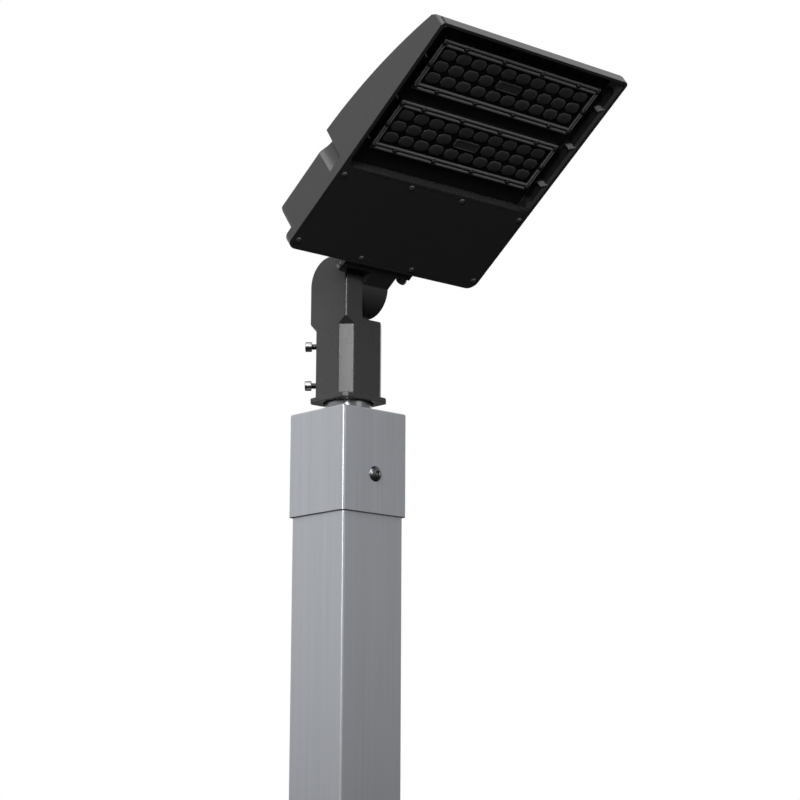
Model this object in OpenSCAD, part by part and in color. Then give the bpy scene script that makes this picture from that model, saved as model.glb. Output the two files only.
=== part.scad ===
// Sports floodlight: LED head on a knuckle slip fitter, on the tenon cap of a square pole.
// The origin is the centre of the pole's lower end, and the light shines towards -Y.

/* [Pole] */
// Width of the square pole across its flats
pole_w = 101.6; // [85:0.1:140]
// Wall of the pole
pole_wall = 3.2; // [2.5:0.1:5]
// Outer corner radius of the pole and of the cap
corner_r = 3.2; // [2:0.1:6]
// Length of the pole section
pole_h = 615; // [400:1:3000]

/* [Pole cap] */
// Wall of the cap's sleeve
sleeve_wall = 2.8; // [2:0.1:5]
// Height of the cap's sleeve, top plate included
sleeve_h = 134.5; // [110:0.5:200]
// Thickness of the cap's top plate
cap_t = 5; // [3:0.5:10]
// Distance from the cap's top down to its screws
cap_screw_drop = 84; // [40:1:95]
// Thread of the cap's screws
cap_screw_d = 10; // [6:1:12]
// Outer diameter of the tenon
tenon_d = 60.3; // [56:0.1:62]
// Wall of the tenon
tenon_wall = 3.9; // [3:0.1:6]
// Length of the tenon above the cap
tenon_h = 100; // [90:1:140]

/* [Slip fitter] */
// Width of the fitter's square body
fitter_w = 73.2; // [72:0.1:90]
// Height of the fitter's body, flange included
fitter_h = 106; // [100:1:140]
// Bore for the tenon
fitter_bore_d = 65; // [63:0.5:66]
// Depth of the bore
fitter_bore_h = 86; // [82:1:92]
// Width of the four corner chamfers
fitter_chamfer = 14.2; // [10:0.1:15]
// Width of the base flange
flange_w = 75.6; // [75:0.1:95]
// Thickness of the base flange
flange_t = 6.5; // [4:0.5:12]
// Thread of the clamp screws
clamp_d = 8; // [6:1:10]
// Height of the lower clamp screws above the fitter's base
clamp_low = 24; // [18:1:30]
// Distance between a lower clamp screw and the upper one
clamp_pitch = 51.8; // [40:0.1:56]

/* [Knuckle] */
// Height of the pivot above the fitter's body
pivot_rise = 48.2; // [44:0.1:70]
// Thickness of the fitter's ear
ear_t = 28; // [22:0.5:30]
// Radius of the ear and of the knuckle
knuckle_r = 36.6; // [30:0.1:36.6]
// Thickness of the knuckle
knuckle_t = 43.5; // [30:0.5:50]
// Thread of the pivot bolt
pivot_d = 12; // [8:1:14]
// Distance from the pivot to the rear edge of the head
reach = 59.8; // [56:0.1:90]
// Height of the pivot above the underside of the head
pivot_up = 28.7; // [26:0.1:34]
// Tilt of the head as it is stored
tilt = 36.8; // [0:0.1:60]

/* [Arm flange] */
// Width of the arm's flange
plate_w = 114.4; // [100:0.1:130]
// Height of the arm's flange
plate_h = 40; // [36:0.5:42]
// Thickness of the arm's flange
plate_t = 10; // [6:0.5:12]
// Height of the flange's lower edge above the underside of the head
plate_up = 4.5; // [3:0.1:6]
// Thread of the arm bolts
arm_bolt_d = 8; // [6:1:8]

/* [Head] */
// Width of the head
head_w = 319.8; // [316:0.1:400]
// Length of the head
head_l = 358.5; // [356:0.1:400]
// Height of the rim
rim_h = 13; // [12:0.1:15]
// Distance from the rear edge to the front edge of the driver cover's bay
bay_l = 136.8; // [134:0.1:138]
// Height of the driver box's top
box_top = 51.6; // [50:0.1:60]
// Height of the heat sink's crest
crest_h = 62.2; // [60:0.1:75]
// Radius of the curved back
back_r = 760; // [700:5:1200]
// Wall of the housing
shell_t = 4; // [3:0.1:5]
// Depth of the optical recess
recess_h = 15; // [14.5:0.1:17]
// Thickness of each cooling fin
fin_t = 2.6; // [1.5:0.1:4]
// Number of cooling fins on each side of the wire duct
fin_count = 9; // [3:1:10]

/* [Driver cover] */
// Thickness of the cover
cover_t = 2.5; // [1.5:0.1:3]
// Thickness of the cover's gasket
cover_gasket_t = 1; // [0.5:0.1:1.5]
// Thread of the cover's screws
cover_screw_d = 4; // [3:0.5:4.5]

/* [LED modules] */
// Lens places in a row
lens_cols = 10; // [6:2:10]
// Rows of lens places
lens_rows = 3; // [3:2:3]
// Gap between two lenses of a row
lens_gap_x = 3.1; // [2:0.1:8]
// Gap between two rows of lenses
lens_gap_y = 1.6; // [1:0.1:5]
// Clear width between a module's frame and the side of the recess's floor
frame_side_gap = 10.1; // [6:0.1:20]
// Clear length between two modules
module_gap = 18.4; // [10:0.1:25]

/* [Driver] */
// Width of the driver
driver_w = 66; // [55:1:68]
// Height of the driver
driver_h = 32; // [25:0.5:34]
// Diameter of the insulated leads
lead_d = 2; // [1.5:0.1:2.4]

/* [Hidden] */
$fn = 48;
small_fn = 24;
hex_fn = 6;
// overrun of every cut past the face that it opens
over = 1;
// gap between parts that are assembled loose or move on each other
gap = 0.3;
// radial clearance of a thread that turns or a shaft that slides in its hole
fit = 0.05;

// pole cap
sleeve_in = pole_w + 2 * gap;
sleeve_w = sleeve_in + 2 * sleeve_wall;
cap_z = pole_h + cap_t;
cap_screw_z = cap_z - cap_screw_drop;
cap_head_d = 1.9 * cap_screw_d;
cap_head_h = 0.58 * cap_screw_d;
cap_socket_d = 0.65 * cap_screw_d;
cap_nut_w = 2 * cap_screw_d;
cap_nut_t = 0.8 * cap_screw_d;
cap_dome_r = (pow(cap_head_d / 2, 2) + pow(cap_head_h, 2)) / (2 * cap_head_h);
weld_w = tenon_wall;

// slip fitter, measured from its own base
fitter_z = cap_z + tenon_h + gap - fitter_bore_h;
fitter_half = fitter_w / 2;
flange_chamfer_share = 0.46;
front_chamfer_share = 0.918;
rear_chamfer_share = 0.901;
chamfer_point_share = 1.009;
flange_chamfer = fitter_chamfer * flange_chamfer_share;
chamfer_front_z = fitter_h * front_chamfer_share;
chamfer_rear_z = fitter_h * rear_chamfer_share;
chamfer_point_z = fitter_h * chamfer_point_share;
shoulder_r = 6;
pivot_local_z = fitter_h + pivot_rise;
ear_x = -fitter_half;
ear_in_x = ear_x + ear_t;
ear_bevel = 2.5;
knuckle_x = ear_in_x + gap;
knuckle_out_x = knuckle_x + knuckle_t;
wire_d = 14;
wire_pocket_r = 23;
wire_pocket_in_r = 12;
wire_pocket_h = 7;
wire_rise_y = 17;
wire_rise_x = ear_in_x - wire_pocket_h;

// clamp screws lie square to the chamfers
left_side = 135;
right_side = 45;
chamfer_face = (fitter_w - fitter_chamfer) / sqrt(2);
clamp_tip = tenon_d / 2 + gap;
clamp_bare = 6.3;
clamp_head_d = 1.6 * clamp_d;
clamp_head_h = 1.05 * clamp_d;
clamp_socket_d = 0.85 * clamp_d;
clamp_socket_h = 0.5 * clamp_d;
clamp_high = clamp_low + clamp_pitch;

// pivot bolt
pivot_head_d = 1.6 * pivot_d;
pivot_head_h = 0.65 * pivot_d;
pivot_washer_d = 2 * pivot_d;
pivot_washer_t = 2.5;
pivot_end_wall = 7;
pivot_end_x = ear_x + pivot_end_wall;
hex_corner = 2 / sqrt(3);

// the head, measured from the rear edge of its underside: the front is at -head_l
pivot_z = fitter_z + pivot_local_z;
head_half = head_w / 2;
rear_corner_r = 14;
front_corner_r = 6;
box_back = 17.4;
box_lean = 3.5;
box_r = 11;
box_side_r = 5;
box_corner_r = 9;
sink_lean = 4.1;
back_mid = 114;
front_lean = 2.6;
front_lip_h = 19.5;
front_cut = 4.1;
scallop_depth = 9.5;
scallop_run = 46;
scallop_share = 0.7071;
scallop_r = scallop_depth / (1 - scallop_share);

// optical recess
recess_front_rim = 4;
recess_side_rim = 5.4;
recess_side_slope = 10;
recess_front_slope = 8;
recess_corner_r = 12;
recess_front_r = 4;
recess_front = head_l - recess_front_rim;
module_run = recess_front - bay_l;
floor_z = recess_h + shell_t;
gusset_count = 3;
gusset_w = 1.6;
scoop_end_in = 12;
gusset_pitch_share = 0.293;
gusset_first_share = 0.196;
gusset_pitch = module_run * gusset_pitch_share;
gusset_first = bay_l + module_run * gusset_first_share;
scoop_r = 7;
scoop_in = 13.9;
scoop_x = head_half - scoop_in;
scoop_z = recess_h / 2;
cell_pitch = 25.6;
cell_rib = 4.2;
cell_l = 9.6;
cell_h = 2.8;
cell_count = floor((head_w - 2 * recess_side_rim) / cell_pitch);

// heat sink
fin_drop = 1.5;
sink_wall = 4.5;
duct_w = 20;
duct_h = 13;
duct_wall = 2.5;
sink_front = head_l - front_lean - front_cut - sink_wall;
sink_rear = bay_l + sink_lean + sink_wall;

// arm flange
plate_gasket_t = 1.5;
plate_edge = 6.3;
plate_rear = plate_gasket_t + plate_t;
arm_bolt_x = plate_w / 2 - plate_edge;
arm_bolt_zs = [plate_up + plate_edge, plate_up + plate_h - plate_edge];
arm_bolt_in = 16;
arm_washer_d = 1.5 * arm_bolt_d;
arm_washer_t = 0.2 * arm_bolt_d;
arm_spring_d = 1.4 * arm_bolt_d;
arm_spring_t = 0.25 * arm_bolt_d;
arm_head_d = 1.62 * arm_bolt_d;
arm_head_h = 0.66 * arm_bolt_d;
arm_wire_in = 14;
arm_wire_x = knuckle_x + arm_wire_in;
gasket_inset = 1.5;

// bay for the driver, and its cover
bay_side = 14;
bay_rear = 22;
bay_step = 13.8;
partition_t = 4.8;
bay_front = bay_l - bay_step;
bay_front_high = bay_l - partition_t;
bay_half = head_half - bay_side;
bay_roof = box_top - shell_t;
rebate_h = cover_t + cover_gasket_t;
cover_rear = 4.2;
cover_front_rim = 4.3;
cover_side_rim = 4.9;
cover_front = bay_l - cover_front_rim;
cover_half = head_half - cover_side_rim;
cover_mid = -(cover_rear + cover_front) / 2;
cover_r = 10;
cover_screw_l = 7;
cover_head_d = 1.9 * cover_screw_d;
cover_head_h = 0.5 * cover_screw_d;
cover_socket_d = 0.62 * cover_screw_d;
cover_hole_r = cover_screw_d / 2 + gap;
inner_screw_in = 7.9;
inner_screw_x = arm_bolt_x - inner_screw_in;
inner_front_in = 3.5;
inner_rear_in = 5.1;
outer_screw_in = 5.6;
outer_front_in = 9.3;
outer_rear_in = 10.8;
outer_screw_x = cover_half - outer_screw_in;
cover_screws_at = [
    for (s = [-1, 1], p = [[inner_screw_x, cover_front - inner_front_in],
                           [outer_screw_x, cover_front - outer_front_in],
                           [inner_screw_x, cover_rear + inner_rear_in],
                           [outer_screw_x, cover_rear + outer_rear_in]]) [s * p[0], -p[1]]];

// LED modules, each measured from its middle, from the opening up to the floor
modules = [0, 1];
module_margin = 28.1;
module_front_margin = 19.6;
module_room = module_run - module_margin - module_front_margin;
frame_l = head_w - 2 * (recess_side_rim + recess_side_slope + frame_side_gap);
frame_w = (module_room - (len(modules) - 1) * module_gap) / len(modules);
frame_rib = 10;
frame_end = 6.5;
lens_room = 8.9;
lens_edge = 1.5;
lens_dx = (frame_l - 2 * lens_room) / lens_cols;
lens_dy = (frame_w - 2 * (frame_rib + lens_edge)) / lens_rows;
lens_l = lens_dx - lens_gap_x;
lens_w = lens_dy - lens_gap_y;
frame_top = 6.6;
frame_skirt = 2.4;
frame_groove = 0.9;
frame_groove_w = 1.6;
board_side_in = 4.8;
board_end_in = 3;
board_w = frame_w - 2 * board_side_in;
board_l = frame_l - 2 * board_end_in;
board_t = 1.6;
seal_t = 1.4;
seal_w = 3;
lens_base_t = 2;
lens_rise = 2.2;
lens_corner_share = 0.3125;
lens_corner = lens_w * lens_corner_share;
lens_dome_r = 40;
board_z = recess_h - board_t;
seal_z = board_z - seal_t;
lens_base_z = seal_z - lens_base_t;
lens_top = lens_base_z - lens_rise;
bar_gap_x = 11.2;
bar_gap_y = 4.6;
bar_l = 2 * lens_dx - bar_gap_x;
bar_w = lens_dy - bar_gap_y;
bar_corner = 3.25;
bar_rise = 2.6;
bar_wall = 1.2;
chip_w = 3.5;
chip_h = 0.8;
plug_l = bar_l / 3;
plug_w = bar_w / 2;
plug_h = 2.8;
frame_screw_d = 3;
frame_head_d = 2 * frame_screw_d;
frame_head_h = 0.65 * frame_screw_d;
frame_screw_in = 2.8;
boss_r = 3.9;
wire_hole_r = 3;
function module_at(i) = -(bay_l + module_margin + frame_w / 2 + i * (frame_w + module_gap));
frame_screw_x = (frame_l - frame_end) / 2;
frame_screw_y = (frame_w - frame_rib) / 2;
rib_screw_shares = [-0.716, -0.24, 0.24, 0.716];
frame_screws_at = concat(
    [for (s = rib_screw_shares, y = [-1, 1]) [s * frame_l / 2, y * frame_screw_y]],
    [for (x = [-1, 1], y = [-1, 0, 1]) [x * frame_screw_x, y * frame_screw_y]]);
lens_places = [
    for (i = [0 : lens_cols - 1], j = [0 : lens_rows - 1])
        if (abs(i - (lens_cols - 1) / 2) > 1 || j != (lens_rows - 1) / 2)
            [(i - (lens_cols - 1) / 2) * lens_dx, (j - (lens_rows - 1) / 2) * lens_dy]];

// driver and its neighbours under the roof of the bay
bay_room = 6;
bay_clear = bay_front - bay_rear;
lug_l = 7.5;
lug_w = 14;
lug_t = 2.5;
bay_screw_d = 4;
bay_screw_in = 3;
bay_screw_head_share = 0.85;
block_share = 0.356;
block_l = bay_clear * block_share;
block_w = 20;
block_h = 17;
block_poles = 3;
block_mouth_share = 0.7;
block_x = -(bay_half - block_w / 2 - bay_room);
block_y = -(bay_rear + lug_l + gap + block_l / 2);
block_face = block_x + block_w / 2;
surge_gap = 9.2;
surge_l = bay_clear - lug_l - gap - block_l - surge_gap - bay_room;
surge_w = 28;
surge_h = 20;
surge_x = -(bay_half - surge_w / 2 - bay_room);
surge_y = -(bay_front - bay_room - surge_l / 2);
driver_y = -(bay_rear + bay_front) / 2;
driver_gap = 6.4;
driver_cap_t = 3;
driver_l = 2 * (bay_half - bay_room - surge_w - driver_gap - lug_l - driver_cap_t);
driver_end = driver_l / 2 + driver_cap_t;
driver_rib_h = 1.5;
driver_ribs = 9;
bay_screws_at = [
    [-driver_end - lug_l / 2, driver_y],
    [driver_end + lug_l / 2, driver_y],
    [block_x, block_y + (block_l + lug_l) / 2],
    [surge_x, surge_y - (surge_l + lug_l) / 2]];

// leads: each run keeps one lead_pitch from its neighbour
lead_pitch = 1.2 * lead_d;
lead_stub = 4;
grommet_t = 2;
grommet_flange = 2;
lead_drop = 12;
feed_drop = 7.1;
lead_z = bay_roof - lead_drop;
feed_z = bay_roof - feed_drop;
mouth_z = bay_roof - block_h * block_mouth_share;
rear_lead_y = -bay_rear - grommet_flange - lead_d;
front_lead_in = 3.2;
entry_z = pivot_up;
duct_low_z = floor_z + duct_wall + 2 * gap;
duct_lead_x = 4;
duct_end_room = 12;
duct_end = -module_at(1) + duct_end_room;
duct_grommet_t = 1.5;
duct_grommet_l = 5;

// square with rounded corners, as circles and bars
module round_square(w, l, r) {
    square([w - 2 * r, l], center = true);
    square([w, l - 2 * r], center = true);
    for (x = [-1, 1], y = [-1, 1]) translate([x * (w / 2 - r), y * (l / 2 - r)]) circle(r);
}

module round_block(w, l, r, h) {
    linear_extrude(h) round_square(w, l, r);
}

// outline in (y, z) drawn out along x, centred
module side_slab(w) {
    translate([-w / 2, 0, 0]) rotate([90, 0, 90]) linear_extrude(w) children();
}

// cylinder along x from x0 to x1
module rod_x(x0, x1, r, fn = $fn) {
    translate([x0, 0, 0]) rotate([0, 90, 0]) cylinder(h = x1 - x0, r = r, $fn = fn);
}

// cylinder along y from y0 to y1
module rod_y(y0, y1, r, fn = $fn) {
    translate([0, y0, 0]) rotate([-90, 0, 0]) cylinder(h = y1 - y0, r = r, $fn = fn);
}

module on_fitter() {
    translate([0, 0, fitter_z]) children();
}

module on_pivot() {
    translate([0, 0, pivot_z]) children();
}

module on_head() {
    on_pivot() rotate([-tilt, 0, 0]) translate([0, -reach, -pivot_up]) children();
}

module on_module(i) {
    on_head() translate([0, module_at(i), 0]) children();
}

// pole and cap

// screw holes through the front and rear walls of a square tube
module cap_screw_holes(w, wall) {
    for (a = [0, 180]) rotate([0, 0, a]) translate([0, -w / 2, cap_screw_z])
        rod_y(-over, wall + over, cap_screw_d / 2 + gap);
}

module pole() {
    inner = pole_w - 2 * pole_wall;
    color("silver") difference() {
        round_block(pole_w, pole_w, corner_r, pole_h);
        translate([0, 0, -over]) round_block(inner, inner, corner_r / 2, pole_h + 2 * over);
        cap_screw_holes(pole_w, pole_wall);
    }
}

module cap_sleeve() {
    color("silver") difference() {
        translate([0, 0, cap_z - sleeve_h]) round_block(sleeve_w, sleeve_w, corner_r, sleeve_h);
        translate([0, 0, cap_z - sleeve_h - over])
            round_block(sleeve_in, sleeve_in, corner_r / 2, sleeve_h - cap_t + over);
        translate([0, 0, pole_h - over]) cylinder(h = cap_t + 2 * over, r = tenon_d / 2 - tenon_wall);
        cap_screw_holes(sleeve_w, sleeve_wall);
    }
}

// tube with its weld bead round the foot
module cap_tenon() {
    color("gainsboro") translate([0, 0, cap_z]) difference() {
        union() {
            cylinder(h = tenon_h, r = tenon_d / 2);
            cylinder(h = weld_w, r1 = tenon_d / 2 + weld_w, r2 = tenon_d / 2);
        }
        translate([0, 0, -over]) cylinder(h = tenon_h + 2 * over, r = tenon_d / 2 - tenon_wall);
    }
}

// button-head screws that enter the sleeve along y
module cap_screws() {
    color("dimgray") for (a = [0, 180]) rotate([0, 0, a]) translate([0, -sleeve_w / 2, cap_screw_z])
        difference() {
            union() {
                intersection() {
                    rod_y(-cap_head_h, 0, cap_head_d / 2);
                    translate([0, cap_dome_r - cap_head_h, 0]) sphere(cap_dome_r);
                }
                rod_y(-over, sleeve_wall + gap + pole_wall + cap_nut_t, cap_screw_d / 2);
            }
            rod_y(-cap_head_h - over, -cap_head_h / 2, cap_socket_d / 2, hex_fn);
        }
}

module cap_nuts() {
    color("dimgray") for (a = [0, 180]) rotate([0, 0, a])
        translate([0, -(pole_w / 2 - pole_wall), cap_screw_z]) difference() {
            translate([-cap_nut_w / 2, 0, -cap_nut_w / 2]) cube([cap_nut_w, cap_nut_t, cap_nut_w]);
            rod_y(-over, cap_nut_t + over, cap_screw_d / 2);
        }
}

// slip fitter

// square whose corners are cut at 45 degrees
module cut_square(w, c) {
    h = w / 2;
    polygon([[-h, -h + c], [-h + c, -h], [h - c, -h], [h, -h + c],
             [h, h - c], [h - c, h], [-h + c, h], [-h, h - c]]);
}

// what a chamfer takes off a corner of the body: it runs out in a slope below the ear
module corner_cut(z_end) {
    run = fitter_chamfer / sqrt(2);
    slope = atan2(chamfer_point_z - z_end, run);
    translate([-fitter_half, -fitter_half, -over]) intersection() {
        linear_extrude(chamfer_point_z + over)
            polygon([[-over, -over], [fitter_chamfer, -over], [fitter_chamfer, 0],
                     [0, fitter_chamfer], [-over, fitter_chamfer]]);
        translate([fitter_chamfer / 2, fitter_chamfer / 2, z_end + over]) rotate([0, 0, 45])
            rotate([0, slope, 0]) translate([-fitter_w, -fitter_w / 2, -2 * fitter_h])
                cube([2 * fitter_w, fitter_w, 2 * fitter_h]);
    }
}

// outline of the ear's foot, bevelled along its outer edges
module ear_foot(x1, half) {
    polygon([[ear_x, -half + ear_bevel], [ear_x + ear_bevel, -half], [x1, -half],
             [x1, half], [ear_x + ear_bevel, half], [ear_x, half - ear_bevel]]);
}

module ear() {
    linear_extrude(pivot_local_z) ear_foot(ear_in_x, knuckle_r);
    translate([0, 0, pivot_local_z]) {
        rod_x(ear_x + ear_bevel, ear_in_x, knuckle_r);
        translate([ear_x, 0, 0]) rotate([0, 90, 0])
            cylinder(h = ear_bevel, r1 = knuckle_r - ear_bevel, r2 = knuckle_r);
    }
}

// block with a rounded shoulder on one side, at this distance from the bore's axis
module shoulder_block(turn, reach) {
    rotate([90, 0, turn]) translate([0, 0, -fitter_w]) linear_extrude(2 * fitter_w) {
        translate([-fitter_w, 0]) square([fitter_w + reach - shoulder_r, fitter_h]);
        translate([-fitter_w, 0]) square([fitter_w + reach, fitter_h - shoulder_r]);
        translate([reach - shoulder_r, fitter_h - shoulder_r]) circle(shoulder_r);
    }
}

// the body under the ear, with rounded shoulders on the side away from it
module fitter_body() {
    intersection() {
        linear_extrude(fitter_h) cut_square(fitter_w, fitter_chamfer);
        shoulder_block(0, fitter_half);
        for (turn = [right_side, -right_side]) shoulder_block(turn, chamfer_face);
    }
    linear_extrude(fitter_h) ear_foot(0, fitter_half);
}

// wire way from the bore into the ring-shaped pocket round the pivot
module ear_wire_way() {
    translate([wire_rise_x, wire_rise_y, fitter_bore_h - over])
        cylinder(h = pivot_local_z - fitter_bore_h + over, r = wire_d / 2);
    translate([0, 0, pivot_local_z]) difference() {
        rod_x(ear_in_x - wire_pocket_h, ear_in_x + over, wire_pocket_r);
        rod_x(ear_in_x - wire_pocket_h - over, ear_in_x + 2 * over, wire_pocket_in_r);
    }
}

module slip_fitter() {
    color("#464646") on_fitter() difference() {
        union() {
            difference() {
                union() {
                    fitter_body();
                    ear();
                }
                corner_cut(chamfer_front_z);
                mirror([0, 1, 0]) corner_cut(chamfer_rear_z);
            }
            linear_extrude(flange_t) cut_square(flange_w, flange_chamfer);
        }
        translate([0, 0, -over]) cylinder(h = fitter_bore_h + over, r = fitter_bore_d / 2);
        ear_wire_way();
        translate([0, 0, pivot_local_z]) rod_x(pivot_end_x, ear_in_x + over, pivot_d / 2);
        for (a = [left_side, right_side], z = [clamp_low, clamp_high])
            translate([0, 0, z]) rotate([0, 0, a]) rod_x(0, fitter_w, clamp_d / 2 + fit);
    }
}

// socket-head screw with its tip beside the tenon
module clamp_screw(side, z) {
    head_x = chamfer_face + clamp_bare;
    color("silver") on_fitter() translate([0, 0, z]) rotate([0, 0, side]) difference() {
        union() {
            rod_x(clamp_tip, head_x + clamp_head_h / 2, clamp_d / 2);
            rod_x(head_x, head_x + clamp_head_h, clamp_head_d / 2);
        }
        rod_x(head_x + clamp_head_h - clamp_socket_h, head_x + clamp_head_h + over,
              clamp_socket_d / 2, hex_fn);
    }
}

module clamp_screw_left_low() {
    clamp_screw(left_side, clamp_low);
}

module clamp_screw_left_high() {
    clamp_screw(left_side, clamp_high);
}

module clamp_screw_right_low() {
    clamp_screw(right_side, clamp_low);
}

module clamp_screw_right_high() {
    clamp_screw(right_side, clamp_high);
}

module pivot_bolt() {
    head_x = knuckle_out_x + gap + pivot_washer_t;
    color("silver") on_pivot() difference() {
        union() {
            rod_x(pivot_end_x, head_x + pivot_head_h / 4, pivot_d / 2);
            rod_x(head_x, head_x + pivot_head_h, pivot_head_d / 2);
        }
        rod_x(head_x + pivot_head_h / 2, head_x + pivot_head_h + over, pivot_d / 2, hex_fn);
    }
}

module pivot_washer() {
    x = knuckle_out_x + gap;
    color("silver") on_pivot() difference() {
        rod_x(x, x + pivot_washer_t, pivot_washer_d / 2);
        rod_x(x - over, x + pivot_washer_t + over, pivot_d / 2);
    }
}

// knuckle, arm and flange, one casting

// the same place on each of the four arm bolts
module at_arm_bolts() {
    for (x = [-1, 1], z = arm_bolt_zs) translate([x * arm_bolt_x, 0, z]) children();
}

module knuckle_arm() {
    color("#3c3c3c") on_head() difference() {
        union() {
            translate([0, reach, pivot_up]) rod_x(knuckle_x, knuckle_out_x, knuckle_r);
            translate([knuckle_x, plate_rear - over, plate_up])
                cube([knuckle_t, reach - plate_rear + over, plate_h]);
            translate([-plate_w / 2, plate_gasket_t, plate_up]) cube([plate_w, plate_t, plate_h]);
        }
        translate([0, reach, pivot_up]) {
            rod_x(knuckle_x - over, knuckle_out_x + over, pivot_d / 2 + fit);
            difference() {
                rod_x(knuckle_x - over, knuckle_x + wire_pocket_h, wire_pocket_r);
                rod_x(knuckle_x - 2 * over, knuckle_x + wire_pocket_h + over, wire_pocket_in_r);
            }
        }
        translate([arm_wire_x, 0, pivot_up])
            rod_y(plate_gasket_t - over, reach - wire_pocket_in_r - 2 * over, wire_d / 2);
        translate([knuckle_x - over, reach - wire_pocket_r + over, pivot_up - wire_d / 2])
            cube([arm_wire_x - knuckle_x + over, wire_pocket_r - wire_pocket_in_r - 2 * over, wire_d]);
        at_arm_bolts() rod_y(plate_gasket_t - over, plate_rear + over, arm_bolt_d / 2 + gap);
    }
}

module arm_gasket() {
    color("#222222") on_head() difference() {
        translate([-plate_w / 2 + gasket_inset, 0, plate_up + gasket_inset])
            cube([plate_w - 2 * gasket_inset, plate_gasket_t, plate_h - 2 * gasket_inset]);
        translate([arm_wire_x, 0, pivot_up]) rod_y(-over, plate_gasket_t + over, wire_d / 2);
        at_arm_bolts() rod_y(-over, plate_gasket_t + over, arm_bolt_d / 2 + gap);
    }
}

module arm_washers() {
    y1 = plate_rear + arm_washer_t;
    y2 = y1 + arm_spring_t;
    color("silver") on_head() at_arm_bolts() difference() {
        union() {
            rod_y(plate_rear, y1, arm_washer_d / 2);
            rod_y(y1, y2, arm_spring_d / 2);
        }
        rod_y(plate_rear - over, y2 + over, arm_bolt_d / 2);
    }
}

module arm_bolts() {
    seat = plate_rear + arm_washer_t + arm_spring_t;
    color("silver") on_head() at_arm_bolts() {
        rod_y(seat, seat + arm_head_h, arm_head_d / 2 * hex_corner, hex_fn);
        rod_y(-arm_bolt_in, seat, arm_bolt_d / 2);
    }
}

// housing

// outline of the head from above: full width, rounded at its four corners
module head_plan() {
    r = rear_corner_r;
    f = front_corner_r;
    translate([-head_half, -head_l + f]) square([head_w, head_l - r - f]);
    translate([-head_half + r, -r]) square([head_w - 2 * r, r]);
    translate([-head_half + f, -head_l]) square([head_w - 2 * f, f]);
    for (s = [-1, 1]) {
        translate([s * (head_half - r), -r]) circle(r);
        translate([s * (head_half - f), -head_l + f]) circle(f);
    }
}

// driver box: leaning rear wall, rounded top edges
module driver_box() {
    back = -box_back - box_lean;
    flat = head_half - box_side_r;
    intersection() {
        side_slab(head_w) {
            polygon([[-box_back, 0], [back, box_top - box_r], [back - box_r, box_top - box_r],
                     [back - box_r, box_top], [-bay_l - sink_lean, box_top], [-bay_l - sink_lean, 0]]);
            translate([back - box_r, box_top - box_r]) circle(box_r);
        }
        rotate([90, 0, 0]) linear_extrude(head_l) {
            translate([-head_half, 0]) square([head_w, box_top - box_side_r]);
            translate([-flat, 0]) square([2 * flat, box_top]);
            for (s = [-1, 1]) translate([s * flat, box_top - box_side_r]) circle(box_side_r);
        }
        linear_extrude(box_top) translate([0, -box_back - head_l / 2])
            round_square(head_w, head_l, box_corner_r);
    }
}

// everything below the curved back, or below a like curve lower down
module under_back(drop) {
    side_slab(head_w + 2 * over) translate([-back_mid, crest_h - back_r])
        circle(back_r - drop, $fn = 8 * $fn);
}

// outer form of the heat sink and the optical part
module sink_body() {
    intersection() {
        side_slab(head_w) polygon([
            [-bay_l, 0], [-bay_l - sink_lean, crest_h], [-head_l + front_lean + front_cut, crest_h],
            [-head_l + front_lean + front_cut, front_lip_h + front_cut],
            [-head_l + front_lean, front_lip_h], [-head_l, 0]]);
        under_back(0);
        linear_extrude(crest_h) head_plan();
    }
}

// slot from front to rear between the walls of the heat sink
module fin_slot(x0, x1) {
    translate([x0, -sink_front, floor_z]) cube([x1 - x0, sink_front - sink_rear, crest_h]);
}

// slots between the fins, which reach from the wire duct to the side walls
module fin_slots() {
    start = duct_w / 2;
    pitch = (head_half - shell_t - start) / fin_count;
    for (s = [-1, 1], i = [0 : fin_count - 1]) {
        a = start + i * pitch + (i == 0 ? 0 : fin_t / 2);
        b = start + (i + 1) * pitch - (i == fin_count - 1 ? 0 : fin_t / 2);
        fin_slot(min(s * a, s * b), max(s * a, s * b));
    }
}

// takes the fins' tops down to a curve below the rim of the side walls
module fin_tops() {
    half = head_half - shell_t;
    difference() {
        fin_slot(-half, half);
        under_back(fin_drop);
    }
}

// wire duct along the middle of the heat sink: cut down to its height and hollowed
module duct_cuts() {
    translate([0, 0, duct_h]) fin_slot(-duct_w / 2, duct_w / 2);
    translate([-duct_w / 2 + duct_wall, -duct_end, floor_z])
        cube([duct_w - 2 * duct_wall, duct_end - bay_front_high + over, duct_h - duct_wall]);
    for (i = modules) translate([0, module_at(i), recess_h - over])
        cylinder(h = shell_t + 2 * over, r = wire_hole_r);
}

module recess_cut() {
    inner = head_half - recess_side_rim;
    r = recess_corner_r;
    f = recess_front_r;
    intersection() {
        translate([0, 0, -over]) linear_extrude(recess_h + over) {
            translate([-inner, -recess_front + f]) square([2 * inner, recess_front - bay_l - r - f]);
            translate([-inner + r, -bay_l - r]) square([2 * (inner - r), r]);
            translate([-inner + f, -recess_front]) square([2 * (inner - f), f]);
            for (s = [-1, 1]) {
                translate([s * (inner - r), -bay_l - r]) circle(r);
                translate([s * (inner - f), -recess_front + f]) circle(f);
            }
        }
        rotate([90, 0, 0]) linear_extrude(head_l + over) polygon([
            [-inner, -over], [-inner, 0], [-inner + recess_side_slope, recess_h + over],
            [inner - recess_side_slope, recess_h + over], [inner, 0], [inner, -over]]);
        side_slab(head_w) polygon([
            [-recess_front, -over], [-recess_front, 0],
            [-recess_front + recess_front_slope, recess_h + over], [0, recess_h + over], [0, -over]]);
    }
}

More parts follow.
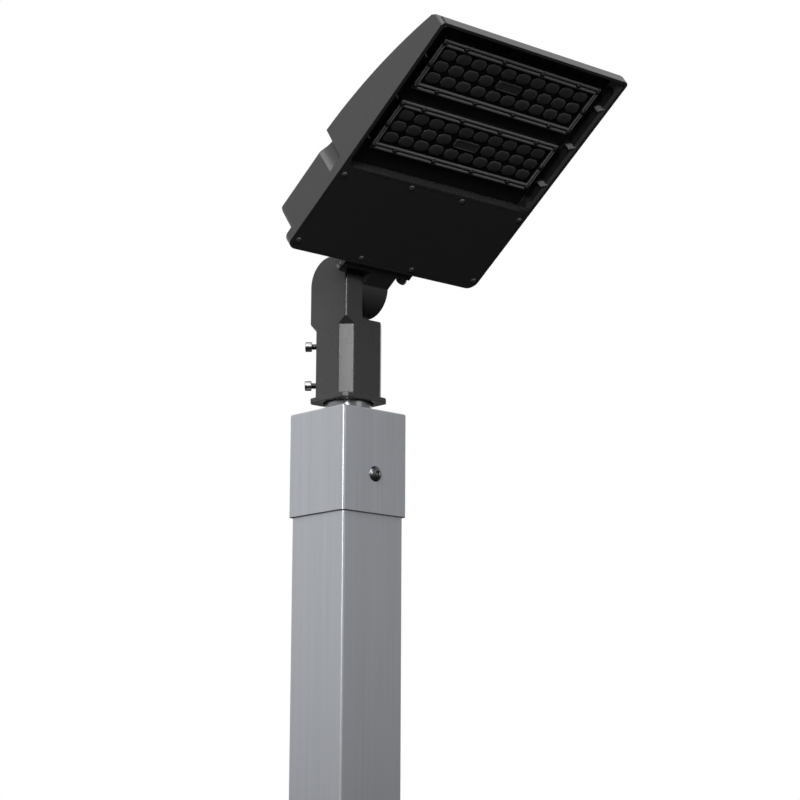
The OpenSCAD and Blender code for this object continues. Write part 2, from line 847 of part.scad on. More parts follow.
// scooped pockets along both sides of the recess, with gussets left between them
module side_scoops() {
    ends = [for (i = [0 : gusset_count]) [
        i == 0 ? bay_l + scoop_end_in : gusset_first + (i - 1) * gusset_pitch + gusset_w / 2,
        i == gusset_count ? recess_front - scoop_end_in : gusset_first + i * gusset_pitch - gusset_w / 2]];
    for (s = [-1, 1], e = ends) if (e[1] - e[0] > 2 * scoop_r)
        translate([s * scoop_x, 0, scoop_z]) {
            rod_y(-e[1] + scoop_r, -e[0] - scoop_r, scoop_r);
            for (v = [e[0] + scoop_r, e[1] - scoop_r]) translate([0, -v, 0]) sphere(scoop_r);
        }
}

// row of cells in the floor of the recess, along its front wall
module front_cells() {
    half = head_half - recess_side_rim - recess_side_slope;
    translate([0, -recess_front + recess_front_slope, recess_h - over]) difference() {
        translate([-half, 0, 0]) cube([2 * half, cell_l, cell_h + over]);
        for (i = [1 : cell_count - 1])
            translate([(i - cell_count / 2) * cell_pitch - cell_rib / 2, -over, -over])
                cube([cell_rib, cell_l + 2 * over, cell_h + 3 * over]);
    }
}

module bay_cut() {
    translate([-bay_half, -bay_front, rebate_h - over])
        cube([2 * bay_half, bay_front - bay_rear, bay_roof - rebate_h + over]);
    translate([-bay_half + box_side_r, -bay_front_high, floor_z])
        cube([2 * (bay_half - box_side_r), bay_front_high - bay_rear, bay_roof - floor_z]);
    translate([0, cover_mid, -over])
        round_block(2 * cover_half, cover_front - cover_rear, cover_r, rebate_h + over);
}

// hollow down each side of the heat sink's rear corner
module side_scallops() {
    lean = sink_lean / crest_h;
    for (s = [-1, 1]) intersection() {
        translate([s * (head_half + scallop_r - scallop_depth), -bay_l, rim_h])
            cylinder(h = crest_h, r = scallop_r);
        side_slab(head_w + 2 * over) polygon([
            [-bay_l - lean * rim_h, rim_h], [-bay_l - lean * 2 * crest_h, 2 * crest_h],
            [-bay_l + scallop_run, 2 * crest_h], [-bay_l + scallop_run, rim_h]]);
    }
}

module screw_hole(p, z, h, r) {
    translate([p[0], p[1], z]) cylinder(h = h, r = r, $fn = small_fn);
}

module housing() {
    color("#4c4c4c") on_head() difference() {
        union() {
            linear_extrude(rim_h) head_plan();
            driver_box();
            sink_body();
            translate([-plate_w / 2, -bay_rear, 0]) cube([plate_w, bay_rear, plate_up + plate_h]);
        }
        fin_slots();
        fin_tops();
        duct_cuts();
        recess_cut();
        side_scoops();
        front_cells();
        bay_cut();
        side_scallops();
        translate([arm_wire_x, 0, entry_z]) rod_y(-bay_rear - over, over, wire_d / 2);
        at_arm_bolts() rod_y(-arm_bolt_in - over, over, arm_bolt_d / 2);
        for (p = cover_screws_at)
            screw_hole(p, rebate_h - over, cover_screw_l + over, cover_screw_d / 2);
        for (p = bay_screws_at)
            screw_hole(p, bay_roof - over, bay_screw_in + over, bay_screw_d / 2);
        for (i = modules) translate([0, module_at(i), 0]) for (p = frame_screws_at)
            screw_hole(p, recess_h - over, frame_screw_in + over, frame_screw_d / 2);
    }
}

// driver cover

module cover_sheet(t) {
    translate([0, cover_mid, 0])
        round_block(2 * (cover_half - gap), cover_front - cover_rear - 2 * gap, cover_r, t);
}

module cover_gasket() {
    color("#1c1c1c") on_head() translate([0, 0, cover_t]) difference() {
        cover_sheet(cover_gasket_t);
        translate([-bay_half, -bay_front, -over])
            cube([2 * bay_half, bay_front - bay_rear, cover_gasket_t + 2 * over]);
        for (p = cover_screws_at) screw_hole(p, -over, cover_gasket_t + 2 * over, cover_hole_r);
    }
}

module driver_cover() {
    color("#1a1a1a") on_head() difference() {
        cover_sheet(cover_t);
        for (p = cover_screws_at) screw_hole(p, -over, cover_t + 2 * over, cover_hole_r);
    }
}

module cover_screws() {
    color("dimgray") on_head() for (p = cover_screws_at) translate([p[0], p[1], 0]) difference() {
        union() {
            translate([0, 0, -cover_head_h]) cylinder(h = cover_head_h, r = cover_head_d / 2);
            translate([0, 0, -cover_head_h / 4])
                cylinder(h = rebate_h + cover_screw_l + cover_head_h / 4,
                         r = cover_screw_d / 2, $fn = small_fn);
        }
        translate([0, 0, -cover_head_h - over])
            cylinder(h = cover_head_h / 2 + over, r = cover_socket_d / 2, $fn = hex_fn);
    }
}

// LED modules

module frame_holes(z0, z1) {
    for (p = frame_screws_at) screw_hole(p, z0, z1 - z0, frame_screw_d / 2 + gap / 2);
}

module led_board(i) {
    color("whitesmoke") on_module(i) difference() {
        translate([-board_l / 2, -board_w / 2, board_z]) cube([board_l, board_w, board_t]);
        frame_holes(board_z - over, recess_h + over);
        translate([0, 0, board_z - over]) cylinder(h = board_t + 2 * over, r = wire_hole_r);
    }
}

module led_chips(i) {
    color("khaki") on_module(i) for (p = lens_places)
        translate([p[0] - chip_w / 2, p[1] - chip_w / 2, board_z - chip_h]) cube([chip_w, chip_w, chip_h]);
}

module board_plug(i) {
    color("ivory") on_module(i) translate([wire_hole_r + gap, -plug_w / 2, board_z - plug_h])
        cube([plug_l, plug_w, plug_h]);
}

module lens_seal(i) {
    inner_l = frame_l - 2 * frame_end - 4 * seal_w;
    inner_w = frame_w - 2 * frame_rib - gap;
    color("#303030") on_module(i) difference() {
        translate([-inner_l / 2 - seal_w, -inner_w / 2 - seal_w, seal_z])
            cube([inner_l + 2 * seal_w, inner_w + 2 * seal_w, seal_t]);
        translate([-inner_l / 2, -inner_w / 2, seal_z - over])
            cube([inner_l, inner_w, seal_t + 2 * over]);
    }
}

// one domed lens with rounded corners, its back in the plate
module lens_tile() {
    intersection() {
        translate([0, 0, lens_top]) round_block(lens_l, lens_w, lens_corner, lens_rise + lens_base_t / 2);
        translate([0, 0, lens_top + lens_dome_r]) sphere(lens_dome_r);
    }
}

module lens_plate(i) {
    bar_z = lens_base_z - bar_rise;
    color("#2a2c2e") on_module(i) difference() {
        union() {
            translate([-board_l / 2, -board_w / 2, lens_base_z]) cube([board_l, board_w, lens_base_t]);
            for (p = lens_places) translate([p[0], p[1], 0]) lens_tile();
            translate([0, 0, bar_z]) round_block(bar_l, bar_w, bar_corner, bar_rise + lens_base_t / 2);
        }
        translate([0, 0, bar_z + bar_wall])
            round_block(bar_l - 2 * bar_wall, bar_w - 2 * bar_wall, bar_corner - bar_wall,
                        bar_rise + lens_base_t - bar_wall + over);
        frame_holes(lens_base_z - over, seal_z + over);
    }
}

// frame with a double rib along each side and round bosses at the screws
module lens_frame(i) {
    in_l = frame_l - 2 * frame_end;
    in_w = frame_w - 2 * frame_rib;
    h = recess_h - frame_top;
    color("#2c2c2c") on_module(i) difference() {
        union() {
            difference() {
                translate([0, 0, frame_top]) round_block(frame_l, frame_w, frame_skirt, h);
                for (s = [-1, 1]) {
                    translate([-in_l / 2, s * frame_screw_y - frame_groove_w / 2, frame_top - over])
                        cube([in_l, frame_groove_w, frame_groove + over]);
                    translate([s * frame_screw_x - frame_groove_w / 2, -in_w / 2, frame_top - over])
                        cube([frame_groove_w, in_w, frame_groove + over]);
                }
            }
            intersection() {
                for (p = frame_screws_at) translate([p[0], p[1], frame_top])
                    cylinder(h = lens_base_z - frame_top, r = boss_r);
                translate([0, 0, frame_top]) round_block(frame_l, frame_w, frame_skirt, h);
            }
        }
        translate([-in_l / 2, -in_w / 2, frame_top - over]) cube([in_l, in_w, h + 2 * over]);
        translate([-board_l / 2 - gap, -board_w / 2 - gap, lens_base_z])
            cube([board_l + 2 * gap, board_w + 2 * gap, h]);
        frame_holes(frame_top - over, recess_h + over);
    }
}

module frame_screws(i) {
    mid = frame_top - frame_head_h / 2;
    color("dimgray") on_module(i) for (p = frame_screws_at) translate([p[0], p[1], 0]) difference() {
        union() {
            translate([0, 0, frame_top - frame_head_h])
                cylinder(h = frame_head_h, r = frame_head_d / 2, $fn = small_fn);
            translate([0, 0, mid])
                cylinder(h = recess_h + frame_screw_in - mid, r = frame_screw_d / 2, $fn = small_fn);
        }
        translate([0, 0, frame_top - frame_head_h - over])
            cylinder(h = frame_head_h / 2 + over, r = frame_screw_d / 3, $fn = hex_fn);
    }
}

module led_board_rear() {
    led_board(0);
}

module led_board_front() {
    led_board(1);
}

module led_chips_rear() {
    led_chips(0);
}

module led_chips_front() {
    led_chips(1);
}

module board_plug_rear() {
    board_plug(0);
}

module board_plug_front() {
    board_plug(1);
}

module lens_seal_rear() {
    lens_seal(0);
}

module lens_seal_front() {
    lens_seal(1);
}

module lens_plate_rear() {
    lens_plate(0);
}

module lens_plate_front() {
    lens_plate(1);
}

module lens_frame_rear() {
    lens_frame(0);
}

module lens_frame_front() {
    lens_frame(1);
}

module frame_screws_rear() {
    frame_screws(0);
}

module frame_screws_front() {
    frame_screws(1);
}

// driver, terminal block, surge protector and their screws into the roof of the bay

module lug_hole(p) {
    screw_hole(p, bay_roof - lug_t - over, lug_t + 2 * over, bay_screw_d / 2 + gap / 2);
}

// cuboid centred in x and y, hung from the roof of the bay
module hung_box(x, y, w, l, h) {
    translate([x - w / 2, y - l / 2, bay_roof - h]) cube([w, l, h]);
}

module driver_case() {
    pitch = driver_w / driver_ribs;
    color("gainsboro") on_head() difference() {
        union() {
            hung_box(0, driver_y, driver_l, driver_w, driver_h);
            hung_box(0, driver_y, 2 * (driver_end + lug_l), lug_w, lug_t);
        }
        for (i = [0 : driver_ribs - 1])
            translate([-driver_l / 2 - over, driver_y + (i - (driver_ribs - 1) / 2) * pitch - pitch / 4,
                       bay_roof - driver_h - over])
                cube([driver_l + 2 * over, pitch / 2, driver_rib_h + over]);
        lug_hole(bay_screws_at[0]);
        lug_hole(bay_screws_at[1]);
    }
}

module driver_caps() {
    color("#555555") on_head() for (s = [-1, 1]) difference() {
        hung_box(s * (driver_l + driver_cap_t) / 2, driver_y, driver_cap_t, driver_w, driver_h);
        translate([0, 0, over]) hung_box(0, driver_y, 2 * (driver_end + over), lug_w, lug_t + over);
    }
}

module terminal_block() {
    pitch = block_l / block_poles;
    color("white") on_head() difference() {
        union() {
            hung_box(block_x, block_y, block_w, block_l, block_h);
            hung_box(block_x, block_y + lug_l / 2, lug_w, block_l + lug_l, lug_t);
        }
        for (i = [0 : block_poles - 1])
            translate([block_x, block_y + (i - (block_poles - 1) / 2) * pitch, bay_roof - block_h - over])
                cylinder(h = block_h / 3 + over, r = pitch / 4, $fn = small_fn);
        lug_hole(bay_screws_at[2]);
    }
}

module surge_protector() {
    color("#7a2f2f") on_head() difference() {
        union() {
            hung_box(surge_x, surge_y, surge_w, surge_l, surge_h);
            hung_box(surge_x, surge_y - lug_l / 2, lug_w, surge_l + lug_l, lug_t);
        }
        lug_hole(bay_screws_at[3]);
    }
}

module bay_screws() {
    color("dimgray") on_head() for (p = bay_screws_at) translate([p[0], p[1], bay_roof - lug_t]) {
        translate([0, 0, -bay_screw_d / 2])
            cylinder(h = bay_screw_d / 2, r = bay_screw_head_share * bay_screw_d, $fn = small_fn);
        cylinder(h = lug_t + bay_screw_in, r = bay_screw_d / 2, $fn = small_fn);
    }
}

module rear_grommet() {
    color("#1c1c1c") on_head() translate([arm_wire_x, 0, entry_z]) difference() {
        union() {
            rod_y(-bay_rear, -bay_rear + wire_d / 2, wire_d / 2);
            rod_y(-bay_rear - grommet_flange, -bay_rear, wire_d / 2 + grommet_t);
        }
        rod_y(-bay_rear - grommet_flange - over, -bay_rear + wire_d / 2 + over, wire_d / 2 - grommet_t);
    }
}

// square bush in the mouth of the wire duct
module duct_grommet() {
    w = duct_w - 2 * duct_wall;
    h = duct_h - duct_wall;
    color("#1c1c1c") on_head() translate([0, -bay_front_high, floor_z]) difference() {
        union() {
            translate([-w / 2, -duct_grommet_l, 0]) cube([w, duct_grommet_l, h]);
            translate([-w / 2 - grommet_flange, 0, 0])
                cube([w + 2 * grommet_flange, grommet_flange, h + grommet_flange]);
        }
        translate([-w / 2 + duct_grommet_t, -duct_grommet_l - over, duct_grommet_t])
            cube([w - 2 * duct_grommet_t, duct_grommet_l + grommet_flange + 2 * over,
                  h - 2 * duct_grommet_t]);
    }
}

// leads

// lead through a list of points: round bars with ball joints
module lead(points) {
    r = lead_d / 2;
    for (i = [0 : len(points) - 2]) {
        run = points[i + 1] - points[i];
        translate(points[i]) rotate([0, acos(run[2] / norm(run)), atan2(run[1], run[0])])
            cylinder(h = norm(run), r = r, $fn = small_fn);
    }
    for (i = [1 : len(points) - 2]) translate(points[i]) sphere(r, $fn = small_fn);
}

// three leads from the rear entry to the terminal block
module supply_leads() {
    color("#202020") on_head() for (i = [-1 : 1]) {
        x0 = arm_wire_x + i * lead_pitch;
        x1 = block_face + lead_stub + (i + 1) * lead_pitch;
        y1 = block_y + i * block_l / block_poles;
        z = entry_z + i * lead_pitch;
        lead([[x0, -bay_rear + wire_d / 2, z], [x0, rear_lead_y, z], [x1, rear_lead_y, z],
              [x1, y1, z], [x1, y1, mouth_z], [block_face, y1, mouth_z]]);
    }
}

// two leads from the terminal block to the driver
module driver_leads() {
    color("#6b4a2b") on_head() for (i = [0, 1]) {
        x = -driver_end - lead_stub - i * lead_pitch;
        y0 = block_y + (1 - 2 * i) * block_l / 4;
        y1 = driver_y + (1 - 2 * i) * driver_w / 4;
        lead([[block_face, y0, feed_z], [x, y0, feed_z], [x, y1, feed_z],
              [x, y1, lead_z], [-driver_end, y1, lead_z]]);
    }
}

// two leads from the terminal block to the surge protector
module surge_leads() {
    color("#6b4a2b") on_head() for (s = [-1, 1])
        translate([block_x + s * block_w / 4, 0, bay_roof - block_h / 2])
            rod_y(surge_y + surge_l / 2, block_y - block_l / 2, lead_d / 2);
}

// two leads to each board: from the driver's far end into the wire duct, then down to the plug
module module_leads() {
    color("#8a1f1f") on_head() for (i = modules, j = [0, 1]) {
        k = 2 * i + j;
        x0 = driver_end + lead_stub + k * lead_pitch;
        x1 = i == 0 ? 0 : (2 * j - 1) * duct_lead_x;
        y0 = driver_y - driver_w / 4 + k * lead_pitch;
        y1 = driver_y - driver_w / 2 - front_lead_in - k * lead_pitch;
        y2 = module_at(i) + (1 - 2 * j) * lead_pitch / 2;
        z = duct_low_z + (k == 1 ? lead_pitch : 0);
        lead(concat(
            [[driver_end, y0, lead_z], [x0, y0, lead_z], [x0, y1, lead_z], [x1, y1, lead_z],
             [x1, y1, z], [x1, y2, z]],
            i == 0 ? [] : [[0, y2, z]],
            [[0, y2, seal_z], [wire_hole_r + gap, y2, seal_z]]));
    }
}

pole();
cap_sleeve();
cap_tenon();
cap_screws();
cap_nuts();
slip_fitter();
clamp_screw_left_low();
clamp_screw_left_high();
clamp_screw_right_low();
clamp_screw_right_high();
pivot_bolt();
pivot_washer();
knuckle_arm();
arm_gasket();
arm_washers();
arm_bolts();
housing();
cover_gasket();
driver_cover();
cover_screws();
led_board_rear();
led_board_front();
led_chips_rear();
led_chips_front();
board_plug_rear();
board_plug_front();
lens_seal_rear();
lens_seal_front();
lens_plate_rear();
lens_plate_front();
lens_frame_rear();
lens_frame_front();
frame_screws_rear();
frame_screws_front();
driver_case();
driver_caps();
terminal_block();
surge_protector();
bay_screws();
rear_grommet();
duct_grommet();
supply_leads();
driver_leads();
surge_leads();
module_leads();
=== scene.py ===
# Sports floodlight: LED head on a knuckle slip fitter, on the tenon cap of a square pole.
# The file follows the floodlight as it is put together, from the pole up to the head's lenses.
import math

import bmesh
import bpy
from mathutils import Matrix, Vector
from mathutils.bvhtree import BVHTree


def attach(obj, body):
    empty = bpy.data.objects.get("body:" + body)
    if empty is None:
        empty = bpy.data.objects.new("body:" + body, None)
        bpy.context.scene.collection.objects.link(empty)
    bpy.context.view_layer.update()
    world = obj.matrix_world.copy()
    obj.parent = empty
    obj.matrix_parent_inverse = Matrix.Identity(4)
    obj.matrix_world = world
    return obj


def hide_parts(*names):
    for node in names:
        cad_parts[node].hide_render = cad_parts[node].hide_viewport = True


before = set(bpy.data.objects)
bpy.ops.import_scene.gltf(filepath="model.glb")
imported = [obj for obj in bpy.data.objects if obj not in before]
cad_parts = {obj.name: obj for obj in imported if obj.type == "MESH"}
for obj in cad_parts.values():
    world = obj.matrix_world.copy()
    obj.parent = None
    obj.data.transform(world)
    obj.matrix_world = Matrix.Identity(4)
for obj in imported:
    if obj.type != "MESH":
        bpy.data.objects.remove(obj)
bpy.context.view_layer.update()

# --- Pole -----------------------------------------------------------------------------------
# Square tube of extruded aluminium, 101.6 mm across with a 3.2 mm wall, sawn off at its foot.
# Its four sides are brushed lengthwise, so that they show fine upright streaks. Its corners and the
# cap's are drawn a little rounder than in the CAD, 4.6 mm against 3.2 mm.
mm = 0.001
pole_width = 101.6 * mm
pole_wall = 3.2 * mm
pole_top = 615 * mm
corner_radius = 4.6 * mm
corner_steps = 8
sawn_edge = 0.4 * mm


def square_ring(width, length, radius, height, steps=corner_steps):
    """Points round a rectangle with rounded corners, at one height."""
    ring = []
    for quarter, (sx, sy) in enumerate(((1, 1), (-1, 1), (-1, -1), (1, -1))):
        for i in range(steps + 1):
            turn = math.radians(90 * (quarter + i / steps))
            ring.append(Vector((sx * (width / 2 - radius) + radius * math.cos(turn),
                                sy * (length / 2 - radius) + radius * math.sin(turn), height)))
    return ring


def skinned(rings, looped=False):
    """Rings of points joined one to the next, closed by a cap at each end or back to the first ring."""
    form = bmesh.new()
    loops = [[form.verts.new(point) for point in ring] for ring in rings]
    count = len(loops[0])
    for low, high in zip(loops, loops[1:] + loops[:1] if looped else loops[1:]):
        for i in range(count):
            form.faces.new((low[i], low[(i + 1) % count], high[(i + 1) % count], high[i]))
    if not looped:
        form.faces.new(loops[0][::-1])
        form.faces.new(loops[-1])
    bmesh.ops.recalc_face_normals(form, faces=form.faces)
    return form


def add_form(whole, part, place=None):
    """Puts one form, moved to its place, into another."""
    mesh = bpy.data.meshes.new("part")
    part.to_mesh(mesh)
    part.free()
    if place is not None:
        mesh.transform(place)
    whole.from_mesh(mesh)
    bpy.data.meshes.remove(mesh)


def finished(name, form, finish, body, slot, *nodes, sharp=32):
    """A form becomes a piece with its finish, which rides on a body and stands for its CAD nodes."""
    mesh = bpy.data.meshes.new(name)
    form.to_mesh(mesh)
    form.free()
    mesh.materials.append(finish)
    mesh.polygons.foreach_set("use_smooth", [True] * len(mesh.polygons))
    mesh.set_sharp_from_angle(angle=math.radians(sharp))
    made = bpy.data.objects.new(name, mesh)
    bpy.context.scene.collection.objects.link(made)
    made.modifiers.new("even_faces", "WEIGHTED_NORMAL").keep_sharp = True
    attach(made, body)
    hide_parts(*nodes)
    return made


def pattern(name, inputs, outputs):
    """An empty node group with its sockets, and its input and output nodes."""
    tree = bpy.data.node_groups.new(name, "ShaderNodeTree")
    for label, value in inputs:
        tree.interface.new_socket(label, in_out="INPUT", socket_type="NodeSocketFloat").default_value = value
    for label in outputs:
        tree.interface.new_socket(label, in_out="OUTPUT", socket_type="NodeSocketFloat")
    return tree, tree.nodes.new("NodeGroupInput"), tree.nodes.new("NodeGroupOutput")


def node(tree, kind, **values):
    """A node whose sockets or settings have these values. A linked socket gets its link here."""
    made = tree.nodes.new(kind)
    for label, value in values.items():
        socket = made.inputs.get(label.replace("_", " "))
        if socket is None:
            setattr(made, label, value)
        elif isinstance(value, bpy.types.NodeSocket):
            tree.links.new(value, socket)
        else:
            socket.default_value = value
    return made


def sum_of(tree, kind, a, b, c=None):
    """One Math node on numbers or links."""
    made = tree.nodes.new("ShaderNodeMath")
    made.operation = kind
    for socket, value in zip(made.inputs, (a, b, c)):
        if isinstance(value, bpy.types.NodeSocket):
            tree.links.new(value, socket)
        elif value is not None:
            socket.default_value = value
    return made.outputs[0]


def drawn_grain_pattern():
    """Upright streaks of a brushed tube at three widths, whose weighted sum is the tone."""
    tree, given, out = pattern("drawn_grain", [("Fineness", 1.0)], ["Tone", "Height"])
    place = node(tree, "ShaderNodeTexCoord").outputs["Object"]
    parts = []
    for scale, detail, length in ((1500.0, 2.0, 0.006), (330.0, 3.0, 0.004), (60.0, 2.0, 0.02)):
        drawn = node(tree, "ShaderNodeMapping", Vector=place, Scale=(1.0, 1.0, length))
        size = sum_of(tree, "MULTIPLY", given.outputs["Fineness"], scale)
        parts.append(node(tree, "ShaderNodeTexNoise", Vector=drawn.outputs[0], Scale=size,
                          Detail=detail).outputs["Fac"])
    fine = sum_of(tree, "MULTIPLY_ADD", parts[0], 0.45, sum_of(tree, "MULTIPLY", parts[1], 0.35))
    tree.links.new(sum_of(tree, "MULTIPLY_ADD", parts[2], 0.2, fine), out.inputs["Tone"])
    tree.links.new(parts[0], out.inputs["Height"])
    return tree


def plain_finish(name, colour, roughness, metallic=0.0, specular=0.5):
    """A material whose Principled shader has its plain values, ready for what varies."""
    made = bpy.data.materials.new(name)
    made.use_nodes = True
    shader = made.node_tree.nodes["Principled BSDF"]
    shader.inputs["Base Color"].default_value = (*colour, 1)
    shader.inputs["Roughness"].default_value = roughness
    shader.inputs["Metallic"].default_value = metallic
    shader.inputs["Specular IOR Level"].default_value = specular
    return made, made.node_tree, shader


colour_a, colour_b, colour_mixed = 6, 7, 2  # places of a Mix node's colour sockets


def vary_colour(tree, shader, tone, dark, light):
    """Base colour between a dark and a light tint of the shader's own colour."""
    colour = shader.inputs["Base Color"].default_value
    mixed = node(tree, "ShaderNodeMix", data_type="RGBA")
    mixed.inputs[colour_a].default_value = (*(c * dark for c in colour[:3]), 1)
    mixed.inputs[colour_b].default_value = (*(min(1, c * light) for c in colour[:3]), 1)
    tree.links.new(tone, mixed.inputs["Factor"])
    tree.links.new(mixed.outputs[colour_mixed], shader.inputs["Base Color"])


def raise_grain(tree, shader, height, depth, strength=1.0):
    """Bump of this depth in metres on the shader's normal."""
    bump = node(tree, "ShaderNodeBump", Height=height, Distance=depth, Strength=strength)
    tree.links.new(bump.outputs["Normal"], shader.inputs["Normal"])


def brushed_finish(name, colour, roughness, metallic, fineness=1.0, depth=0.004 * mm, dark=0.8,
                   light=1.2):
    """Metal with drawn streaks in its colour and in its bump."""
    made, tree, shader = plain_finish(name, colour, roughness, metallic)
    grain = node(tree, "ShaderNodeGroup", node_tree=drawn_grain)
    grain.inputs["Fineness"].default_value = fineness
    vary_colour(tree, shader, grain.outputs["Tone"], dark, light)
    raise_grain(tree, shader, grain.outputs["Height"], depth)
    return made


drawn_grain = drawn_grain_pattern()
pole_metal = brushed_finish("pole_metal", (0.42, 0.436, 0.468), 0.3, 0.62, dark=0.74, light=1.26)


def square_tube(width, wall, radius, bottom, top, edge):
    """Rings of a square tube, up its outside and down its inside, with small edges at both ends."""
    inner, inner_radius = width - 2 * wall, radius / 2
    return [square_ring(width - 2 * edge, width - 2 * edge, radius - edge, bottom),
            square_ring(width, width, radius, bottom + edge),
            square_ring(width, width, radius, top - edge),
            square_ring(width - 2 * edge, width - 2 * edge, radius - edge, top),
            square_ring(inner, inner, inner_radius, top),
            square_ring(inner, inner, inner_radius, bottom)]


pole_rings = square_tube(pole_width, pole_wall, corner_radius, 0, pole_top, sawn_edge)
finished("pole_tube", skinned(pole_rings, True), pole_metal, "post", "pole_metal", "pole")

# --- Pole cap -------------------------------------------------------------------------------
# Sleeve over the pole's end with a welded top plate, of the same brushed metal as the pole.
# The plate has a round hole for the supply cable under the tenon.
sleeve_width = 107.8 * mm
sleeve_wall = 2.8 * mm
cap_top = 620 * mm
sleeve_bottom = cap_top - 134.5 * mm
plate_bottom = pole_top
plate_edge, plate_edge_steps = 2.6 * mm, 4
tenon_radius = 30.15 * mm
tenon_wall = 3.9 * mm


def round_ring(radius, height, count=4 * (corner_steps + 1)):
    """Points round a circle at one height, or round any outline whose radius depends on the turn."""
    reach = radius if callable(radius) else (lambda turn: radius)
    turns = [2 * math.pi * i / count for i in range(count)]
    return [Vector((reach(t) * math.cos(t), reach(t) * math.sin(t), height)) for t in turns]


def cap_rings():
    """Rings up the sleeve, over its plate's rounded edge, down the cable hole and down the inside."""
    hole, inner = tenon_radius - tenon_wall, sleeve_width - 2 * sleeve_wall
    rings = square_tube(sleeve_width, sleeve_wall, corner_radius, sleeve_bottom, cap_top, sawn_edge)[:2]
    for i in range(plate_edge_steps + 1):
        turn = math.radians(90 * i / plate_edge_steps)
        inset = plate_edge * (1 - math.cos(turn))
        width, height = sleeve_width - 2 * inset, cap_top - plate_edge * (1 - math.sin(turn))
        rings.append(square_ring(width, width, corner_radius - inset, height))
    rings += [round_ring(hole, cap_top), round_ring(hole, plate_bottom),
              square_ring(inner, inner, corner_radius / 2, plate_bottom),
              square_ring(inner, inner, corner_radius / 2, sleeve_bottom)]
    return rings


finished("cap_sleeve_plate", skinned(cap_rings(), True), pole_metal, "post", "pole_metal", "cap_sleeve")

# --- Tenon ----------------------------------------------------------------------------------
# Round steel tube that the slip fitter sits on, welded to the cap's plate and left bare.
# The weld is a ring of overlapping beads.
tenon_top = cap_top + 100 * mm
weld_width = 3.9 * mm
weld_beads, weld_ripple, weld_steps = 44, 0.08, 6
tenon_edge = 0.6 * mm
tenon_steps = 96


def fine_skin_pattern():
    """Even fine texture of a coating, a casting or a moulding, with a slow unevenness under it."""
    tree, given, out = pattern("fine_skin", [("Size", 0.001)], ["Tone", "Height", "Cloud"])
    place = node(tree, "ShaderNodeTexCoord").outputs["Object"]
    scale = sum_of(tree, "DIVIDE", 1.0, given.outputs["Size"])
    peel = node(tree, "ShaderNodeTexNoise", Vector=place, Scale=scale, Detail=2.0, Roughness=0.6)
    slow_scale = sum_of(tree, "MULTIPLY", scale, 0.05)
    slow = node(tree, "ShaderNodeTexNoise", Vector=place, Scale=slow_scale, Detail=3.0)
    tree.links.new(peel.outputs["Fac"], out.inputs["Height"])
    tree.links.new(slow.outputs["Fac"], out.inputs["Cloud"])
    half_slow = sum_of(tree, "MULTIPLY", slow.outputs["Fac"], 0.5)
    both = sum_of(tree, "MULTIPLY_ADD", peel.outputs["Fac"], 0.5, half_slow)
    tree.links.new(both, out.inputs["Tone"])
    return tree


def skinned_finish(name, colour, roughness, metallic=0.0, specular=0.5, size=1 * mm, depth=0.02 * mm,
                   dark=0.9, light=1.1, spread=0.06):
    """Coating, casting or moulding whose fine texture varies its colour, roughness and bump."""
    made, tree, shader = plain_finish(name, colour, roughness, metallic, specular)
    skin = node(tree, "ShaderNodeGroup", node_tree=fine_skin)
    skin.inputs["Size"].default_value = size
    vary_colour(tree, shader, skin.outputs["Tone"], dark, light)
    raise_grain(tree, shader, skin.outputs["Height"], depth)
    rough = sum_of(tree, "MULTIPLY_ADD", skin.outputs["Cloud"], 2 * spread, roughness - spread)
    tree.links.new(rough, shader.inputs["Roughness"])
    return made


def tenon_form():
    """Tube with rounded top edges, and round its foot a hand weld of uneven overlapping beads."""
    r, w, e = tenon_radius, tenon_wall, tenon_edge
    rings = [(r, cap_top), (r, tenon_top - e), (r - 0.3 * e, tenon_top - 0.3 * e), (r - e, tenon_top),
             (r - w + e, tenon_top), (r - w, tenon_top - e), (r - w, cap_top)]
    form = skinned([round_ring(radius, height, tenon_steps) for radius, height in rings], True)
    bead = []
    for i in range(weld_steps + 1):
        turn = math.radians(90 * i / weld_steps)

        def reach(t, turn=turn):
            ripple = 1 + weld_ripple * abs(math.sin(t * weld_beads / 2 + 0.3 * math.sin(3 * t)))
            return r - 0.2 * mm + weld_width * 0.92 * math.cos(turn) * ripple
        bead.append(round_ring(reach, cap_top + weld_width * math.sin(turn), 8 * weld_beads))
    bead.append(round_ring(r - 1 * mm, cap_top, 8 * weld_beads))
    add_form(form, skinned(bead, True))
    return form


fine_skin = fine_skin_pattern()
tenon_metal = skinned_finish("tenon_metal", (0.2, 0.203, 0.207), 0.25, 1.0, size=2.5 * mm,
                             depth=0.01 * mm, spread=0.08)
finished("tenon_tube", tenon_form(), tenon_metal, "post", "tenon_metal", "cap_tenon", sharp=40)

# --- Screws of the cap ----------------------------------------------------------------------
# Two M10 button-head screws of dark steel, one through the sleeve's front and one through its back.
# Each has a hexagon socket, and a nut inside the pole.
cap_screw_height = cap_top - 84 * mm
round_steps = 48
thread_depth, rings_per_thread = 0.6, 7
crown_steps = 9


def hexagon(apothem):
    """Radius of a hexagon at each turn, with a corner at 30 degrees."""
    def reach(turn):
        return apothem / math.cos((turn + math.pi / 6) % (math.pi / 3) - math.pi / 6)
    return reach


def inside(reach, radius):
    """The smaller of an outline and a circle, as where a cone cuts a hexagon's corners."""
    return lambda turn: min(reach(turn), radius)


def thread(outer, pitch, height):
    """Outline of a helical thread at one height. Its depth is a share of its pitch."""
    def reach(turn):
        phase = (height / pitch - turn / (2 * math.pi)) % 1
        return outer - thread_depth * pitch * (1 - abs(2 * phase - 1))
    return reach


